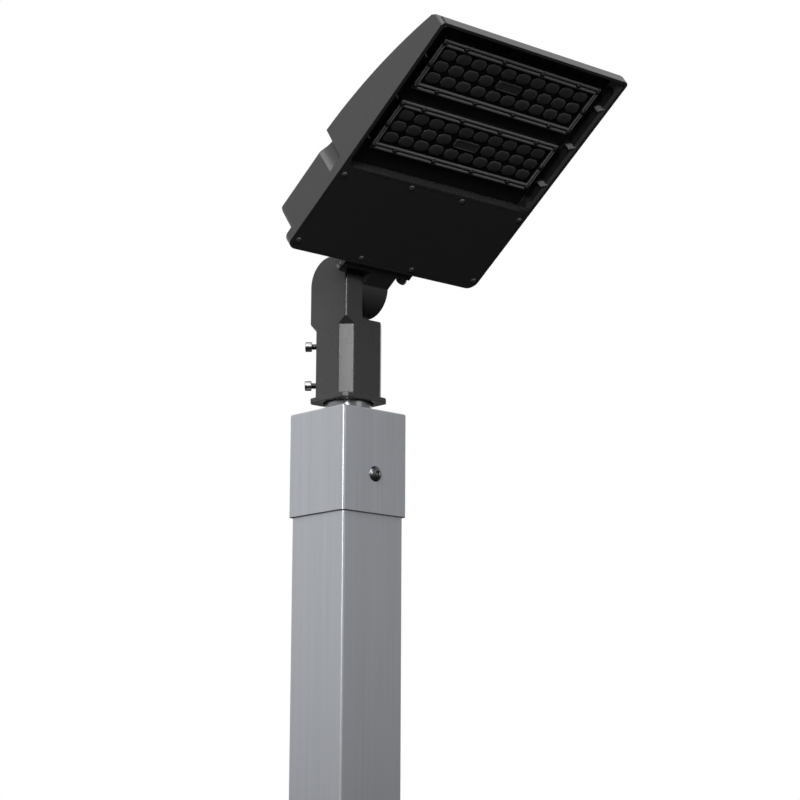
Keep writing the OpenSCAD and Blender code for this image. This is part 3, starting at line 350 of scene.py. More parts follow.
def threaded(outer, pitch, start, end):
    """Rings of a thread from start to end along its axis."""
    count = max(2, int(abs(end - start) / pitch * rings_per_thread))
    heights = [start + (end - start) * i / count for i in range(count + 1)]
    return [(thread(outer, pitch, h), h) for h in heights]


def turned(rings, looped=False):
    """Form of a turned part whose rings are (radius or outline, height) along Z."""
    return skinned([round_ring(radius, height, round_steps) for radius, height in rings], looped)


def socket_rings(apothem, face, depth):
    """Rings down a hexagon socket: small lead-in, walls, and a coned bottom."""
    lead = 0.12 * apothem
    return [(hexagon(apothem + lead), face), (hexagon(apothem), face - lead),
            (hexagon(apothem), face - depth), (0.05 * apothem, face - depth - 0.25 * apothem)]


def along(point, direction):
    """Place whose Z runs along a direction."""
    return Matrix.Translation(point) @ Vector(direction).to_track_quat("Z", "Y").to_matrix().to_4x4()


def button_screw(thread_radius, head_radius, head_height, length, socket, pitch):
    """Button-head screw on the face at height zero, its thread below it."""
    crown = (head_radius ** 2 + head_height ** 2) / (2 * head_height)
    flat = 1.35 * socket
    rings = [(0.55 * thread_radius, -length), (0.85 * thread_radius, -length + 0.3 * thread_radius)]
    rings += threaded(thread_radius, pitch, -length + 0.4 * thread_radius, -0.5 * pitch)
    rings += [(thread_radius, 0), (head_radius * 0.975, 0), (head_radius, head_height * 0.05)]
    top = math.sqrt(crown ** 2 - flat ** 2) - (crown - head_height)
    for i in range(1, crown_steps + 1):
        height = head_height * 0.05 + (top - head_height * 0.05) * i / crown_steps
        rings.append((math.sqrt(crown ** 2 - (height + crown - head_height) ** 2), height))
    return turned(rings + socket_rings(socket, top, 0.5 * head_height))


dark_screw = skinned_finish("dark_screw", (0.12, 0.12, 0.123), 0.3, 0.9, size=0.6 * mm,
                            depth=0.006 * mm)
cap_screws = bmesh.new()
for side in (-1, 1):
    screw = button_screw(thread_radius=5 * mm, head_radius=10 * mm, head_height=5.8 * mm,
                         length=14 * mm, socket=2.81 * mm, pitch=1.5 * mm)
    add_form(cap_screws, screw, along((0, side * sleeve_width / 2, cap_screw_height), (0, side, 0)))
finished("cap_button_screws", cap_screws, dark_screw, "post", "dark_screw", "cap_screws")


def softened(source, edge, steps=2, crisp=None):
    """A CAD node's own form with its edges rounded where they bend by more than 28 degrees. Edges whose
    middle is crisp stay sharp. A point thrown outward goes back to the node's surface, and none leaves
    the node's box."""
    same_point, flat_face, bend, thrown = 0.02 * mm, math.radians(0.4), math.radians(28), 1.3
    form = bmesh.new()
    form.from_mesh(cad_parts[source].data)
    bmesh.ops.remove_doubles(form, verts=form.verts, dist=same_point)
    bmesh.ops.dissolve_limit(form, angle_limit=flat_face, verts=form.verts, edges=form.edges)
    skin = BVHTree.FromBMesh(form)
    low, high = (Vector(limit(v.co[k] for v in form.verts) for k in range(3))
                 for limit in (min, max))
    weight = form.edges.layers.float.new("bevel_weight_edge")
    for side in form.edges:
        middle = (side.verts[0].co + side.verts[1].co) / 2
        if side.calc_face_angle(0) > bend and not (crisp and crisp(middle)):
            side[weight] = 1
    mesh = bpy.data.meshes.new("blank")
    form.to_mesh(mesh)
    form.free()
    blank = bpy.data.objects.new("blank", mesh)
    bpy.context.scene.collection.objects.link(blank)
    bevel = blank.modifiers.new("edges", "BEVEL")
    bevel.width, bevel.segments, bevel.limit_method = edge, steps, "WEIGHT"
    bevel.use_clamp_overlap = False
    bpy.context.view_layer.update()
    form = bmesh.new()
    form.from_mesh(blank.evaluated_get(bpy.context.evaluated_depsgraph_get()).to_mesh())
    bpy.data.objects.remove(blank)
    bpy.data.meshes.remove(mesh)
    for vert in form.verts:
        near, _, _, distance = skin.find_nearest(vert.co)
        if distance > thrown * edge:
            vert.co = near
        vert.co = [min(max(part, least), most) for part, least, most in zip(vert.co, low, high)]
    return form


finished("cap_square_nuts", softened("cap_nuts", 0.8 * mm), dark_screw, "post", "dark_screw", "cap_nuts")

# --- Slip fitter ----------------------------------------------------------------------------
# Aluminium casting with the bore for the tenon, the base flange and the tall ear of the knuckle.
# It has a dark grey powder coat, slightly grained, over softly rounded cast edges.
coated_casting = skinned_finish("coated_casting", (0.045, 0.045, 0.0455), 0.27, specular=0.25, size=0.7 * mm,
                                depth=0.012 * mm, dark=0.93, light=1.07, spread=0.03)
finished("fitter_casting", softened("slip_fitter", 1 * mm), coated_casting, "fitter", "coated_casting",
         "slip_fitter")

# --- Clamp screws ---------------------------------------------------------------------------
# Four M8 socket-head screws of polished steel through the fitter's corner faces.
# Their tips bear on the tenon, and they stand out a little with their thread showing.
fitter_base = 634.3 * mm
clamp_heights = {"low": 24 * mm, "high": 75.8 * mm}
clamp_sides = {"left": 135, "right": 45}
clamp_tip = 30.45 * mm
clamp_head = 48.02 * mm
clamp_top = 56.42 * mm


def clamp_screw_form():
    """Tip, thread, neck and socket head, as radii at their distances from the tenon's middle."""
    rings = [(2.6 * mm, clamp_tip), (3.3 * mm, clamp_tip + 0.8 * mm)]
    rings += threaded(4 * mm, 1.25 * mm, clamp_tip + 1 * mm, clamp_head - 0.9 * mm)
    rings += [(3.6 * mm, clamp_head - 0.5 * mm), (3.7 * mm, clamp_head), (6.1 * mm, clamp_head),
              (6.4 * mm, clamp_head + 0.3 * mm), (6.4 * mm, clamp_top - 0.7 * mm),
              (6.2 * mm, clamp_top - 0.25 * mm), (5.8 * mm, clamp_top)]
    return turned(rings + socket_rings(apothem=2.94 * mm, face=clamp_top, depth=4 * mm))


bright_screw = skinned_finish("bright_screw", (0.16, 0.16, 0.165), 0.2, 1.0, size=0.8 * mm,
                              depth=0.002 * mm, dark=0.92, light=1.08)
for side, turn in clamp_sides.items():
    turn_to = Matrix.Rotation(math.radians(turn), 4, "Z") @ Matrix.Rotation(math.radians(90), 4, "Y")
    for level, height in clamp_heights.items():
        label = "clamp_%s_%s" % (side, level)
        form = bmesh.new()
        add_form(form, clamp_screw_form(), Matrix.Translation((0, 0, fitter_base + height)) @ turn_to)
        finished(label + "_socket_screw", form, bright_screw, label, "bright_screw",
                 "clamp_screw_%s_%s" % (side, level))

# --- Pivot bolt -----------------------------------------------------------------------------
# M12 socket-head bolt through the knuckle into the fitter's ear, with a plain washer under its head.
# The head turns on it when its grip is slackened.
pivot_height = 788.5 * mm
pivot_end = -29.6 * mm
pivot_washer_in = 35.5 * mm
pivot_head = 38 * mm
pivot_top = 45.8 * mm


pivot_place = (Matrix.Translation((0, 0, pivot_height))
               @ Matrix.Rotation(math.radians(90), 4, "Y"))


def on_pivot(form):
    """A turned form laid along the pivot's axis."""
    whole = bmesh.new()
    add_form(whole, form, pivot_place)
    return whole


def pivot_bolt_form():
    """Shank and socket head, as radii at their places along the pivot."""
    rings = [(4.5 * mm, pivot_end), (6 * mm, pivot_end + 1.5 * mm), (6 * mm, pivot_head),
             (9.2 * mm, pivot_head), (9.6 * mm, pivot_head + 0.4 * mm), (9.6 * mm, pivot_top - 1 * mm),
             (9.3 * mm, pivot_top - 0.35 * mm), (8.7 * mm, pivot_top)]
    return turned(rings + socket_rings(apothem=5.2 * mm, face=pivot_top, depth=3.9 * mm))


def washer_form(inner, outer, low, high, edge):
    """Plain washer with a small chamfer round its outside."""
    return turned([(inner, low), (outer - edge, low), (outer, low + edge), (outer, high - edge),
                   (outer - edge, high), (inner, high)], True)


pivot_washer = washer_form(6 * mm, 12 * mm, pivot_washer_in, pivot_head, 0.3 * mm)
finished("pivot_socket_bolt", on_pivot(pivot_bolt_form()), bright_screw, "fitter", "bright_screw",
         "pivot_bolt")
finished("pivot_plain_washer", on_pivot(pivot_washer), bright_screw, "fitter", "bright_screw",
         "pivot_washer")

# --- Knuckle arm ----------------------------------------------------------------------------
# One casting of round knuckle, short arm and flange, coated as the fitter is.
# A rubber gasket seals its flange to the back of the head.
finished("knuckle_casting", softened("knuckle_arm", 0.9 * mm), coated_casting, "head", "coated_casting",
         "knuckle_arm")
black_rubber = skinned_finish("black_rubber", (0.02, 0.02, 0.02), 0.7, specular=0.3, size=1.5 * mm,
                              depth=0.03 * mm)


def dress(finish, *names):
    """CAD nodes that stay as they are get their finish."""
    for name in names:
        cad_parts[name].data.materials.clear()
        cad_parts[name].data.materials.append(finish)


dress(black_rubber, "arm_gasket")

# --- Arm bolts ------------------------------------------------------------------------------
# Four M8 hexagon bolts hold the flange to the head, each over a plain and a split spring washer.
# They are darker and duller than the clamp screws.
tilt = 36.8
reach_to_head = 59.8 * mm
pivot_above_head = 28.7 * mm
head_place = (Matrix.Translation((0, 0, pivot_height)) @ Matrix.Rotation(math.radians(-tilt), 4, "X")
              @ Matrix.Translation((0, -reach_to_head, -pivot_above_head)))
arm_bolt_places = [(x * mm, z * mm) for x in (-50.9, 50.9) for z in (10.8, 38.2)]
flange_back = 11.5 * mm
plain_washer_top = flange_back + 1.6 * mm
bolt_seat = flange_back + 3.6 * mm
bolt_radius = 4 * mm


def hexagon_bolt_form(seat):
    """Shank, and hexagon head on the seat. A cone cuts the head's corners in five steps."""
    flats, top = 6.48 * mm, seat + 5.28 * mm
    rings = [(3 * mm, -16 * mm), (3.9 * mm, -15 * mm), (bolt_radius, seat), (0.95 * flats, seat),
             (inside(hexagon(flats), 7.0 * mm), seat + 0.2 * mm)]
    for i in range(5):
        cone = 7.5 * mm - 0.35 * mm * i
        rings.append((inside(hexagon(flats), cone), top - 1.2 * mm + 0.3 * mm * i))
    rings.append((5.2 * mm, top))
    return turned(rings)


def spring_washer_form(inner, outer, low, high):
    """Split ring whose ends stand a little apart along the axis."""
    count, gap, spring, thinner = 44, 0.12, 0.25, 0.12
    form = bmesh.new()
    loops = []
    for i in range(count + 1):
        turn = gap + (2 * math.pi - gap) * i / count
        rise = spring * (high - low) * (i / count - 0.5)
        lo, hi = low + thinner * (high - low) + rise, high - thinner * (high - low) + rise
        loops.append([form.verts.new((radius * math.cos(turn), radius * math.sin(turn), height))
                      for radius, height in ((inner, lo), (outer, lo), (outer, hi), (inner, hi))])
    for a, b in zip(loops, loops[1:]):
        for k in range(4):
            form.faces.new((a[k], a[(k + 1) % 4], b[(k + 1) % 4], b[k]))
    form.faces.new(loops[0][::-1])
    form.faces.new(loops[-1])
    bmesh.ops.recalc_face_normals(form, faces=form.faces)
    return form


bolts, washers = bmesh.new(), bmesh.new()
for x, z in arm_bolt_places:
    place = head_place @ along((x, 0, z), (0, 1, 0))
    add_form(bolts, hexagon_bolt_form(bolt_seat), place)
    add_form(washers, washer_form(bolt_radius, 6 * mm, flange_back, plain_washer_top, 0.2 * mm), place)
    add_form(washers, spring_washer_form(bolt_radius, 5.6 * mm, plain_washer_top, bolt_seat), place)
finished("arm_hexagon_bolts", bolts, dark_screw, "head", "bright_screw", "arm_bolts")
finished("arm_bolt_washers", washers, dark_screw, "head", "bright_screw", "arm_washers")

# --- Housing --------------------------------------------------------------------------------
# Die-cast shell of the head: driver box behind, finned heat sink and open optical recess in front.
# It is one aluminium casting in the fitter's powder coat. The recess floor and the small facets of its side
# scoops are drawn darker than that coat, as painted shade, and its thin webs, which the CAD lacks, lighter,
# as a painted highlight, as bright as each looks in the photograph.
into_head = head_place.inverted()
recess_half, recess_front, recess_rear = 156 * mm, -360 * mm, -136 * mm
recess_low, recess_high = 0.3 * mm, 20 * mm
floor_half, floor_front, floor_rear = 150 * mm, -356 * mm, -138 * mm
floor_low, floor_high = 14.6 * mm, 18.8 * mm
scoop_inner, scoop_facet = 141 * mm, 100 * mm ** 2
bay_half, bay_front, bay_rear = 146.3 * mm, -132.5 * mm, -21.6 * mm
bay_low, bay_high = 2.6 * mm, 48 * mm
web_places = (-313.2 * mm, -249.4 * mm, -185.6 * mm)
painted_shade_slot, painted_highlight_slot = 1, 2


def in_recess(point):
    """Whether a point lies in the optical recess, behind its rim."""
    x, y, w = into_head @ point
    return abs(x) < recess_half and recess_front < y < recess_rear and recess_low < w < recess_high


def web_form(side, y):
    """Thin web from the recess's side wall inward and a little back, lowest at the wall."""
    wall, tip, back, half = 155 * side * mm, 146.5 * side * mm, 6 * mm, 0.8 * mm
    root, nose, top = 0.5 * mm, 2.4 * mm, 15.5 * mm
    outline = [(wall, 0, root), (tip, back, nose), (tip, back, top), (wall, 0, top)]
    form = skinned([[Vector((x, y + rise + shift, w)) for x, rise, w in outline]
                    for shift in (-half, half)])
    # Its faces take the painted highlight.
    for face in form.faces:
        face.material_index = painted_highlight_slot
    return form


def hidden_or_deep(point):
    """Whether a point lies in the recess or in the driver bay, whose edges stay as the CAD has them."""
    x, y, w = into_head @ point
    in_bay = abs(x) < bay_half and bay_front < y < bay_rear and bay_low < w < bay_high
    return in_bay or in_recess(point)


form = softened("housing", 0.6 * mm, crisp=hidden_or_deep)
for side in (-1, 1):
    for y in web_places:
        add_form(form, web_form(side, y), head_place)
housing = finished("housing_casting", form, coated_casting, "head", "coated_casting", "housing")
# Painted shade: a darker copy of the casting's coat on the recess floor and the scoops' small facets, for
# the shade that falls in the recess.
recess_painted_shade = skinned_finish("recess_painted_shade", (0.018, 0.018, 0.0182), 0.5, specular=0.1, size=0.7 * mm,
                             depth=0.012 * mm)
# Painted highlight: a much lighter copy of the casting's coat on the webs, for the light that falls on them.
web_painted_highlight = skinned_finish("web_painted_highlight", (0.2, 0.2, 0.202), 0.4, specular=0.4, size=0.7 * mm,
                          depth=0.012 * mm)
for coat in (recess_painted_shade, web_painted_highlight):
    housing.data.materials.append(coat)
# The recess floor and the scoops' small facets take the painted shade.
for face in housing.data.polygons:
    x, y, w = into_head @ face.center
    on_floor = abs(x) < floor_half and floor_front < y < floor_rear and floor_low < w < floor_high
    in_scoop = (in_recess(face.center) and abs(x) > scoop_inner and w < floor_low
                and face.area < scoop_facet)
    if (on_floor or in_scoop) and not face.material_index:
        face.material_index = painted_shade_slot

# --- Driver cover ---------------------------------------------------------------------------
# Flat aluminium plate that closes the driver's bay from below, as dark as the casting but more matt.
# Eight small button-head screws hold it against a rubber gasket.
coated_cover = skinned_finish("coated_cover", (0.042, 0.042, 0.0425), 0.5, specular=0.15, size=0.8 * mm,
                              depth=0.01 * mm)
finished("cover_plate", softened("driver_cover", 0.5 * mm), coated_cover, "head", "coated_cover",
         "driver_cover")
dress(black_rubber, "cover_gasket")
zinc_screw = skinned_finish("zinc_screw", (0.2, 0.2, 0.205), 0.36, 0.9, size=0.7 * mm, depth=0.01 * mm,
                            dark=0.85, light=1.12)
cover_screw_places = [(side * x, -back) for side in (-1, 1)
                      for x, back in ((43.0, 129.0), (149.4, 123.2), (43.0, 9.3), (149.4, 15.0))]
cover_screws = bmesh.new()
for x, y in cover_screw_places:
    screw = button_screw(thread_radius=2 * mm, head_radius=3.8 * mm, head_height=2 * mm,
                         length=10 * mm, socket=1.1 * mm, pitch=0.7 * mm)
    add_form(cover_screws, screw, head_place @ along((x * mm, y * mm, 0), (0, 0, -1)))
finished("cover_button_screws", cover_screws, zinc_screw, "head", "dark_screw", "cover_screws")

# --- Circuit boards -------------------------------------------------------------------------
# One aluminium-backed board behind each lens plate, with white solder mask, its LED packages
# and one plug for the two leads. The lens plates hide them.
board_white = skinned_finish("board_white", (0.75, 0.75, 0.73), 0.4, size=2 * mm, depth=0.01 * mm)
led_yellow = skinned_finish("led_yellow", (0.78, 0.62, 0.12), 0.45, size=0.5 * mm, depth=0.01 * mm)
plug_ivory = skinned_finish("plug_ivory", (0.7, 0.66, 0.52), 0.4, size=1 * mm)
dress(board_white, "led_board_rear", "led_board_front")
dress(led_yellow, "led_chips_rear", "led_chips_front")
dress(plug_ivory, "board_plug_rear", "board_plug_front")

# --- Lens plates ----------------------------------------------------------------------------
# One moulding of smoked polycarbonate per module, with 28 low domed lenses in three rows. The sheet
# between them is drawn matt and darker than they are. A hollow bar takes the place of the two middle
# lenses, over the board's plug.
module_places = {"rear": -202.789 * mm, "front": -297.001 * mm}
columns, rows = 10, 3
column_pitch, row_pitch = 25.1 * mm, 17.604 * mm
sheet_length, sheet_width = 262.8 * mm, 66.2 * mm
sheet_front, sheet_back = 10 * mm, 12 * mm
bar_length, bar_width, bar_front, bar_wall = 39 * mm, 13 * mm, 7.4 * mm, 1.2 * mm


def lens_outline(scale_x, scale_y, height):
    """Eight-sided lens with rounded corners, 21.6 by 15.2 mm at full size."""
    a, b, cut_x, cut_y, bend = 10.8 * mm, 7.6 * mm, 5 * mm, 4.2 * mm, 1.3 * mm
    corners = [(a, -b + cut_y), (a, b - cut_y), (a - cut_x, b), (cut_x - a, b),
               (-a, b - cut_y), (-a, cut_y - b), (cut_x - a, -b), (a - cut_x, -b)]
    ring = []
    for i, corner in enumerate(corners):
        before, here, after = Vector(corners[i - 1]), Vector(corner), Vector(corners[(i + 1) % 8])
        start = here + (before - here).normalized() * bend
        end = here + (after - here).normalized() * bend
        for t in (0, 0.25, 0.5, 0.75, 1):
            p = (1 - t) ** 2 * start + 2 * t * (1 - t) * here + t ** 2 * end
            ring.append(Vector((p.x * scale_x, p.y * scale_y, height)))
    return ring


def lens_form():
    """Low dome: short side, rounded shoulder and a nearly flat crown, as shares of the outline at heights
    in millimetres."""
    rings = [(1.0, 10.6), (1.0, 9.6), (0.98, 9.25), (0.93, 8.9), (0.84, 8.55), (0.72, 8.25), (0.54, 7.98),
             (0.34, 7.84), (0.12, 7.8)]
    form = skinned([lens_outline(1 - 0.9 * (1 - s), s, h * mm) for s, h in rings])
    for face in form.faces:
        face.material_index = 1
    return form


def open_backed(form):
    """Takes away a form's cap on the side of the circuit board."""
    caps = [f for f in form.faces if len(f.verts) > 4 and f.calc_center_median().z > 11 * mm]
    bmesh.ops.delete(form, geom=caps, context="FACES_ONLY")
    return form


def lens_plate_form():
    """Sheet and bar in one skin, hollow behind the bar, with the lenses set on it."""
    bar = ((0, 3.25 * mm, sheet_front), (0, 3.25 * mm, bar_front + 0.6 * mm),
           (0.4 * mm, 3.05 * mm, bar_front + 0.2 * mm), (1.2 * mm, 2.7 * mm, bar_front),
           (2.6 * mm, 2.2 * mm, bar_front), (3.4 * mm, 2 * mm, bar_front + 0.5 * mm))
    rings = [square_ring(sheet_length, sheet_width, 0.6 * mm, sheet_back),
             square_ring(sheet_length, sheet_width, 0.6 * mm, sheet_front)]
    rings += [square_ring(bar_length - less, bar_width - less, radius, height)
              for less, radius, height in bar]
    inner = (bar_length - 2 * bar_wall, bar_width - 2 * bar_wall, 2.2 * mm)
    under = [square_ring(*inner, bar_front + bar_wall), square_ring(*inner, sheet_back)]
    form = open_backed(skinned(rings))
    add_form(form, open_backed(skinned(under)))
    form.edges.ensure_lookup_table()
    bmesh.ops.bridge_loops(form, edges=[e for e in form.edges if e.is_boundary])
    bmesh.ops.recalc_face_normals(form, faces=form.faces)
    for face in form.faces:
        face.material_index = int(face.calc_center_median().z < sheet_front - 0.1 * mm)
    for i in range(columns):
        for j in range(rows):
            if abs(i - (columns - 1) / 2) > 1 or j != (rows - 1) / 2:
                place = ((i - (columns - 1) / 2) * column_pitch, (j - (rows - 1) / 2) * row_pitch, 0)
                add_form(form, lens_form(), Matrix.Translation(place))
    return form


lens_plastic = skinned_finish("lens_plastic", (0.045, 0.046, 0.048), 0.28, specular=0.45, size=3 * mm,
                              depth=0.004 * mm)
sheet_plastic = skinned_finish("sheet_plastic", (0.006, 0.006, 0.0065), 0.6, specular=0.08, size=1 * mm,
                               depth=0.01 * mm)
for module, y in module_places.items():
    form = bmesh.new()
    add_form(form, lens_plate_form(), head_place @ Matrix.Translation((0, y, 0)))
    made = finished("lens_moulding_" + module, form, sheet_plastic, "head", "lens_plastic",
                    "lens_plate_" + module, sharp=50)
    made.data.materials.append(lens_plastic)
dress(black_rubber, "lens_seal_rear", "lens_seal_front")

# --- Lens frames ----------------------------------------------------------------------------
# A black plastic frame presses each lens plate onto its seal. Two round ribs run along each of its bars,
# and round bosses stand at its fourteen screws. The ribs' crests are drawn lighter than the rest of the same
# moulding, as a painted highlight, as bright as they look in the photograph.
frame_plastic = skinned_finish("frame_plastic", (0.012, 0.012, 0.0122), 0.45, specular=0.2, size=0.8 * mm,
                               depth=0.006 * mm)
# Painted highlight: a lighter copy of the frame's plastic for the ribs' crests, for the light that catches
# them.
rib_painted_highlight = skinned_finish("rib_painted_highlight", (0.17, 0.17, 0.172), 0.3, specular=0.6, size=0.8 * mm,
                             depth=0.006 * mm)
frame_screw_steel = skinned_finish("frame_screw_steel", (0.03, 0.03, 0.031), 0.4, 0.7, size=0.5 * mm,
                                   depth=0.004 * mm)
frame_length, frame_width = 268.8 * mm, 75.8 * mm
frame_end, frame_side = 6.5 * mm, 10 * mm
frame_front, frame_seat, recess_floor = 6.6 * mm, 10 * mm, 15 * mm
rib_height, rib_reach, rib_steps, rib_roundness = 2.4 * mm, 0.22, 8, 0.8
groove_height, groove_start, groove_end, seat_start = 3 * mm, 0.46, 0.54, 0.43
boss_radius = 3.9 * mm


def frame_form():
    """Two ribs swept round the frame. Each point is its share of the way across the bar, and its height."""
    section = [(0, recess_floor)]
    for middle in (rib_reach, 1 - rib_reach):
        for i in range(rib_steps + 1):
            turn = math.radians(180 * i / rib_steps)
            section.append((middle - rib_reach * math.cos(turn),
                            frame_front + rib_height * (1 - math.sin(turn) ** rib_roundness)))
        if middle < 0.5:
            section += [(share, frame_front + groove_height) for share in (groove_start, groove_end)]
    section += [(1, frame_seat), (seat_start, frame_seat), (seat_start, recess_floor)]
    form = skinned([square_ring(frame_length - 2 * frame_end * share, frame_width - 2 * frame_side * share,
                                (2.4 - 1.8 * share) * mm, height) for share, height in section], True)
    # Faces near the ribs' crests take the painted highlight.
    for face in form.faces:
        face.material_index = int(face.calc_center_median().z < frame_front + 0.7 * rib_height)
    return form


def boss_form():
    """Round boss under a screw head, its face at height zero."""
    return turned([(boss_radius, -3.3 * mm), (boss_radius, -0.5 * mm), (boss_radius - 0.2 * mm, -0.12 * mm),
                   (boss_radius - 0.6 * mm, 0), (1.5 * mm, 0), (1.5 * mm, -0.2 * mm)])


frame_screw_places = ([(x, y) for x in (-96.2, -32.3, 32.3, 96.2) for y in (-32.9, 32.9)]
                      + [(x, y) for x in (-131.15, 131.15) for y in (-32.9, 0, 32.9)])
for module, y0 in module_places.items():
    moulding, screws = bmesh.new(), bmesh.new()
    add_form(moulding, frame_form(), head_place @ Matrix.Translation((0, y0, 0)))
    for x, y in frame_screw_places:
        place = head_place @ along((x * mm, y0 + y * mm, frame_front), (0, 0, -1))
        add_form(moulding, boss_form(), place)
        screw = button_screw(thread_radius=1.5 * mm, head_radius=3 * mm, head_height=1.95 * mm,
                             length=9 * mm, socket=0.9 * mm, pitch=0.5 * mm)
        add_form(screws, screw, place)
    made = finished("lens_frame_moulding_" + module, moulding, frame_plastic, "head", "frame_plastic",
                    "lens_frame_" + module, sharp=40)
    made.data.materials.append(rib_painted_highlight)
    finished("frame_screw_set_" + module, screws, frame_screw_steel, "head", "dark_screw",
             "frame_screws_" + module)

# --- Driver and its neighbours --------------------------------------------------------------
# In the bay: the driver in its ribbed case, the terminal block and the surge protector, each screwed to
# the housing's roof. The CAD's bay breaks through the box's rounded rear upper edge in a narrow slit, and
# the block's lug and rear screw stand out there. They are drawn in a little, and still show in the slit.
rear_limit, top_limit = -22.5 * mm, 48.5 * mm


def kept_in_bay(form):
    """Draws in the points of a form that lie behind the rear limit or above the top limit."""
    for vert in form.verts:
        x, y, w = into_head @ vert.co
        vert.co = head_place @ Vector((x, min(y, rear_limit), min(w, top_limit)))
    return form


driver_metal = skinned_finish("driver_metal", (0.6, 0.6, 0.61), 0.4, 0.8, size=1 * mm)
driver_cap_plastic = skinned_finish("driver_cap_plastic", (0.09, 0.09, 0.09), 0.5, size=1 * mm)
block_white = skinned_finish("block_white", (0.72, 0.72, 0.7), 0.45, size=1 * mm)
surge_red = skinned_finish("surge_red", (0.3, 0.05, 0.05), 0.4, size=1 * mm)
finished("driver_ribbed_case", softened("driver_case", 0.5 * mm), driver_metal, "head", "driver_metal",
         "driver_case")
finished("driver_end_caps", softened("driver_caps", 0.5 * mm), driver_cap_plastic, "head",
         "driver_cap_plastic", "driver_caps")
finished("terminal_block_moulding", kept_in_bay(softened("terminal_block", 0.4 * mm)), block_white,
         "head", "block_white", "terminal_block")
finished("surge_protector_case", softened("surge_protector", 0.8 * mm), surge_red, "head", "surge_red",
         "surge_protector")
finished("bay_lug_screws", kept_in_bay(softened("bay_screws", 0.1 * mm)), dark_screw, "head",
         "dark_screw", "bay_screws")

# --- Leads ----------------------------------------------------------------------------------
# Short insulated leads inside the head, from the rear entry to the terminal block, on to the driver
# and the surge protector, and through the wire duct to the boards. Rubber grommets line the holes.
lead_black = skinned_finish("lead_black", (0.03, 0.03, 0.03), 0.4, size=1 * mm)
lead_brown = skinned_finish("lead_brown", (0.16, 0.08, 0.04), 0.4, size=1 * mm)
lead_red = skinned_finish("lead_red", (0.4, 0.03, 0.02), 0.4, size=1 * mm)
dress(black_rubber, "rear_grommet", "duct_grommet")
dress(lead_black, "supply_leads")
dress(lead_brown, "driver_leads", "surge_leads")
dress(lead_red, "module_leads")

# --- Floor, light and camera ----------------------------------------------------------------
# Pale studio floor and white surround. The floor lies far below the head, out of the picture, and
# throws little light on it, as in the photograph. The camera stands in front to the left, just above
# the pole's foot, and looks up at the head.


def ramp(tree, value, low, high):
    """Nought at the low value, one at the high value."""
    made = node(tree, "ShaderNodeMapRange", Value=value)
    made.inputs["From Min"].default_value, made.inputs["From Max"].default_value = low, high
    return made.outputs[0]


def surround():
    """White behind the object and in its reflections, which darken towards the front and below the
    horizon. Soft grey light from above."""
    world = bpy.data.worlds.new("surround")
    bpy.context.scene.world = world
    world.use_nodes = True
    tree = world.node_tree
    back = tree.nodes["Background"]
    path = node(tree, "ShaderNodeLightPath")
    around = node(tree, "ShaderNodeTexCoord").outputs["Generated"]
    up = node(tree, "ShaderNodeSeparateXYZ", Vector=around)
    behind = sum_of(tree, "MULTIPLY_ADD", ramp(tree, up.outputs["Y"], -0.5, 0.3), 0.5, 0.5)
    mirrored = sum_of(tree, "MULTIPLY", path.outputs["Is Glossy Ray"], behind)
    mirrored = sum_of(tree, "MULTIPLY", mirrored, ramp(tree, up.outputs["Z"], -0.12, 0.08))
    seen = sum_of(tree, "MAXIMUM", path.outputs["Is Camera Ray"], path.outputs["Is Transmission Ray"])
    soft = sum_of(tree, "MULTIPLY_ADD", up.outputs["Z"], 0.12, 0.045)
    bright = sum_of(tree, "MAXIMUM", seen, mirrored)
    tree.links.new(sum_of(tree, "MAXIMUM", bright, soft), back.inputs["Strength"])
    back.inputs["Color"].default_value = (1, 1, 1, 1)


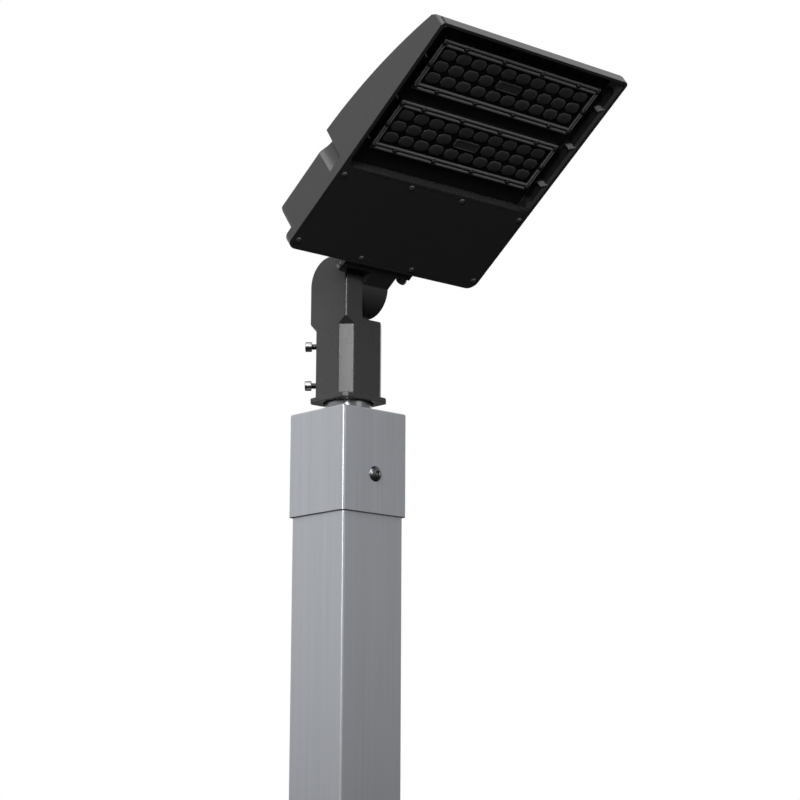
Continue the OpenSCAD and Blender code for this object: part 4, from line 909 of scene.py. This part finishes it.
def studio_floor():
    """Large floor, pale and fading to white far away for the camera. It throws light back as a dark
    floor would, and reflections show it dark near the pole."""
    reach = 8
    mesh = bpy.data.meshes.new("floor")
    mesh.from_pydata([(-reach, -reach, 0), (reach, -reach, 0), (reach, reach, 0), (-reach, reach, 0)],
                     [], [(0, 1, 2, 3)])
    made, tree, shader = plain_finish("floor_paint", (0.8, 0.8, 0.8), 0.9, specular=0.0)
    path = node(tree, "ShaderNodeLightPath")
    away = node(tree, "ShaderNodeVectorMath", operation="LENGTH")
    tree.links.new(node(tree, "ShaderNodeTexCoord").outputs["Object"], away.inputs[0])
    distant = ramp(tree, away.outputs["Value"], 1.2, 5)
    mirrored = sum_of(tree, "MULTIPLY", path.outputs["Is Glossy Ray"], distant)
    seen = sum_of(tree, "MAXIMUM", path.outputs["Is Camera Ray"], path.outputs["Is Transmission Ray"])
    seen = sum_of(tree, "MAXIMUM", mirrored, seen)
    paint = node(tree, "ShaderNodeMix", data_type="RGBA")
    tree.links.new(seen, paint.inputs["Factor"])
    paint.inputs[colour_a].default_value = (0.03, 0.03, 0.03, 1)
    paint.inputs[colour_b].default_value = (0.85, 0.85, 0.85, 1)
    tree.links.new(paint.outputs[colour_mixed], shader.inputs["Base Color"])
    shader.inputs["Emission Color"].default_value = (1, 1, 1, 1)
    far = sum_of(tree, "MULTIPLY", path.outputs["Is Camera Ray"], ramp(tree, away.outputs["Value"], 0.4, 3))
    tree.links.new(far, shader.inputs["Emission Strength"])
    mesh.materials.append(made)
    floor = bpy.data.objects.new("floor", mesh)
    bpy.context.scene.collection.objects.link(floor)


def soft_box(name, direction, distance, width, height, power):
    """Rectangular lamp that faces the head from a direction, with its power in watts."""
    aim = Vector((0, -0.12, 0.8))
    light = bpy.data.lights.new(name, "AREA")
    light.shape = "RECTANGLE"
    light.size, light.size_y, light.energy = width, height, power
    made = bpy.data.objects.new(name, light)
    made.location = aim + Vector(direction).normalized() * distance
    made.rotation_euler = Vector(direction).to_track_quat("Z", "Y").to_euler()
    bpy.context.scene.collection.objects.link(made)


surround()
studio_floor()
soft_box("left_box", (-0.85, -0.35, 0.5), 3, 1.2, 1.2, 42)
soft_box("camera_side_box", (-0.731, -0.652, 0.29), 3.4, 0.5, 1.0, 33)
soft_box("edge_strip", (-0.731, -0.652, 0.13), 3.4, 0.3, 0.9, 17)
soft_box("overhead_right_box", (0.652, -0.015, 0.757), 3, 1.2, 1.2, 1.0)
soft_box("overhead_left_box", (-0.465, -0.163, 0.869), 3, 2, 2, 62)
soft_box("front_fill", (0.25, -1, 0.3), 4, 2, 2, 14)

camera = bpy.data.cameras.new("camera")
camera.lens, camera.sensor_width, camera.clip_end = 104.006, 36, 60
camera_place = (-1.900464, -2.2303, 0.044246)
turn, rise, lean = math.radians(-41.7415), math.radians(11.4918), math.radians(0.2854)
ahead = Vector((-math.sin(turn) * math.cos(rise), math.cos(turn) * math.cos(rise), math.sin(rise)))
level = ahead.cross(Vector((0, 0, 1))).normalized()
upright = level.cross(ahead)
right = math.cos(lean) * level + math.sin(lean) * upright
above = -math.sin(lean) * level + math.cos(lean) * upright
viewer = bpy.data.objects.new("camera", camera)
viewer.matrix_world = (Matrix.Translation(camera_place)
                       @ Matrix((right, above, -ahead)).transposed().to_4x4())
bpy.context.scene.collection.objects.link(viewer)
bpy.context.scene.camera = viewer
bpy.context.scene.view_settings.view_transform = "Standard"
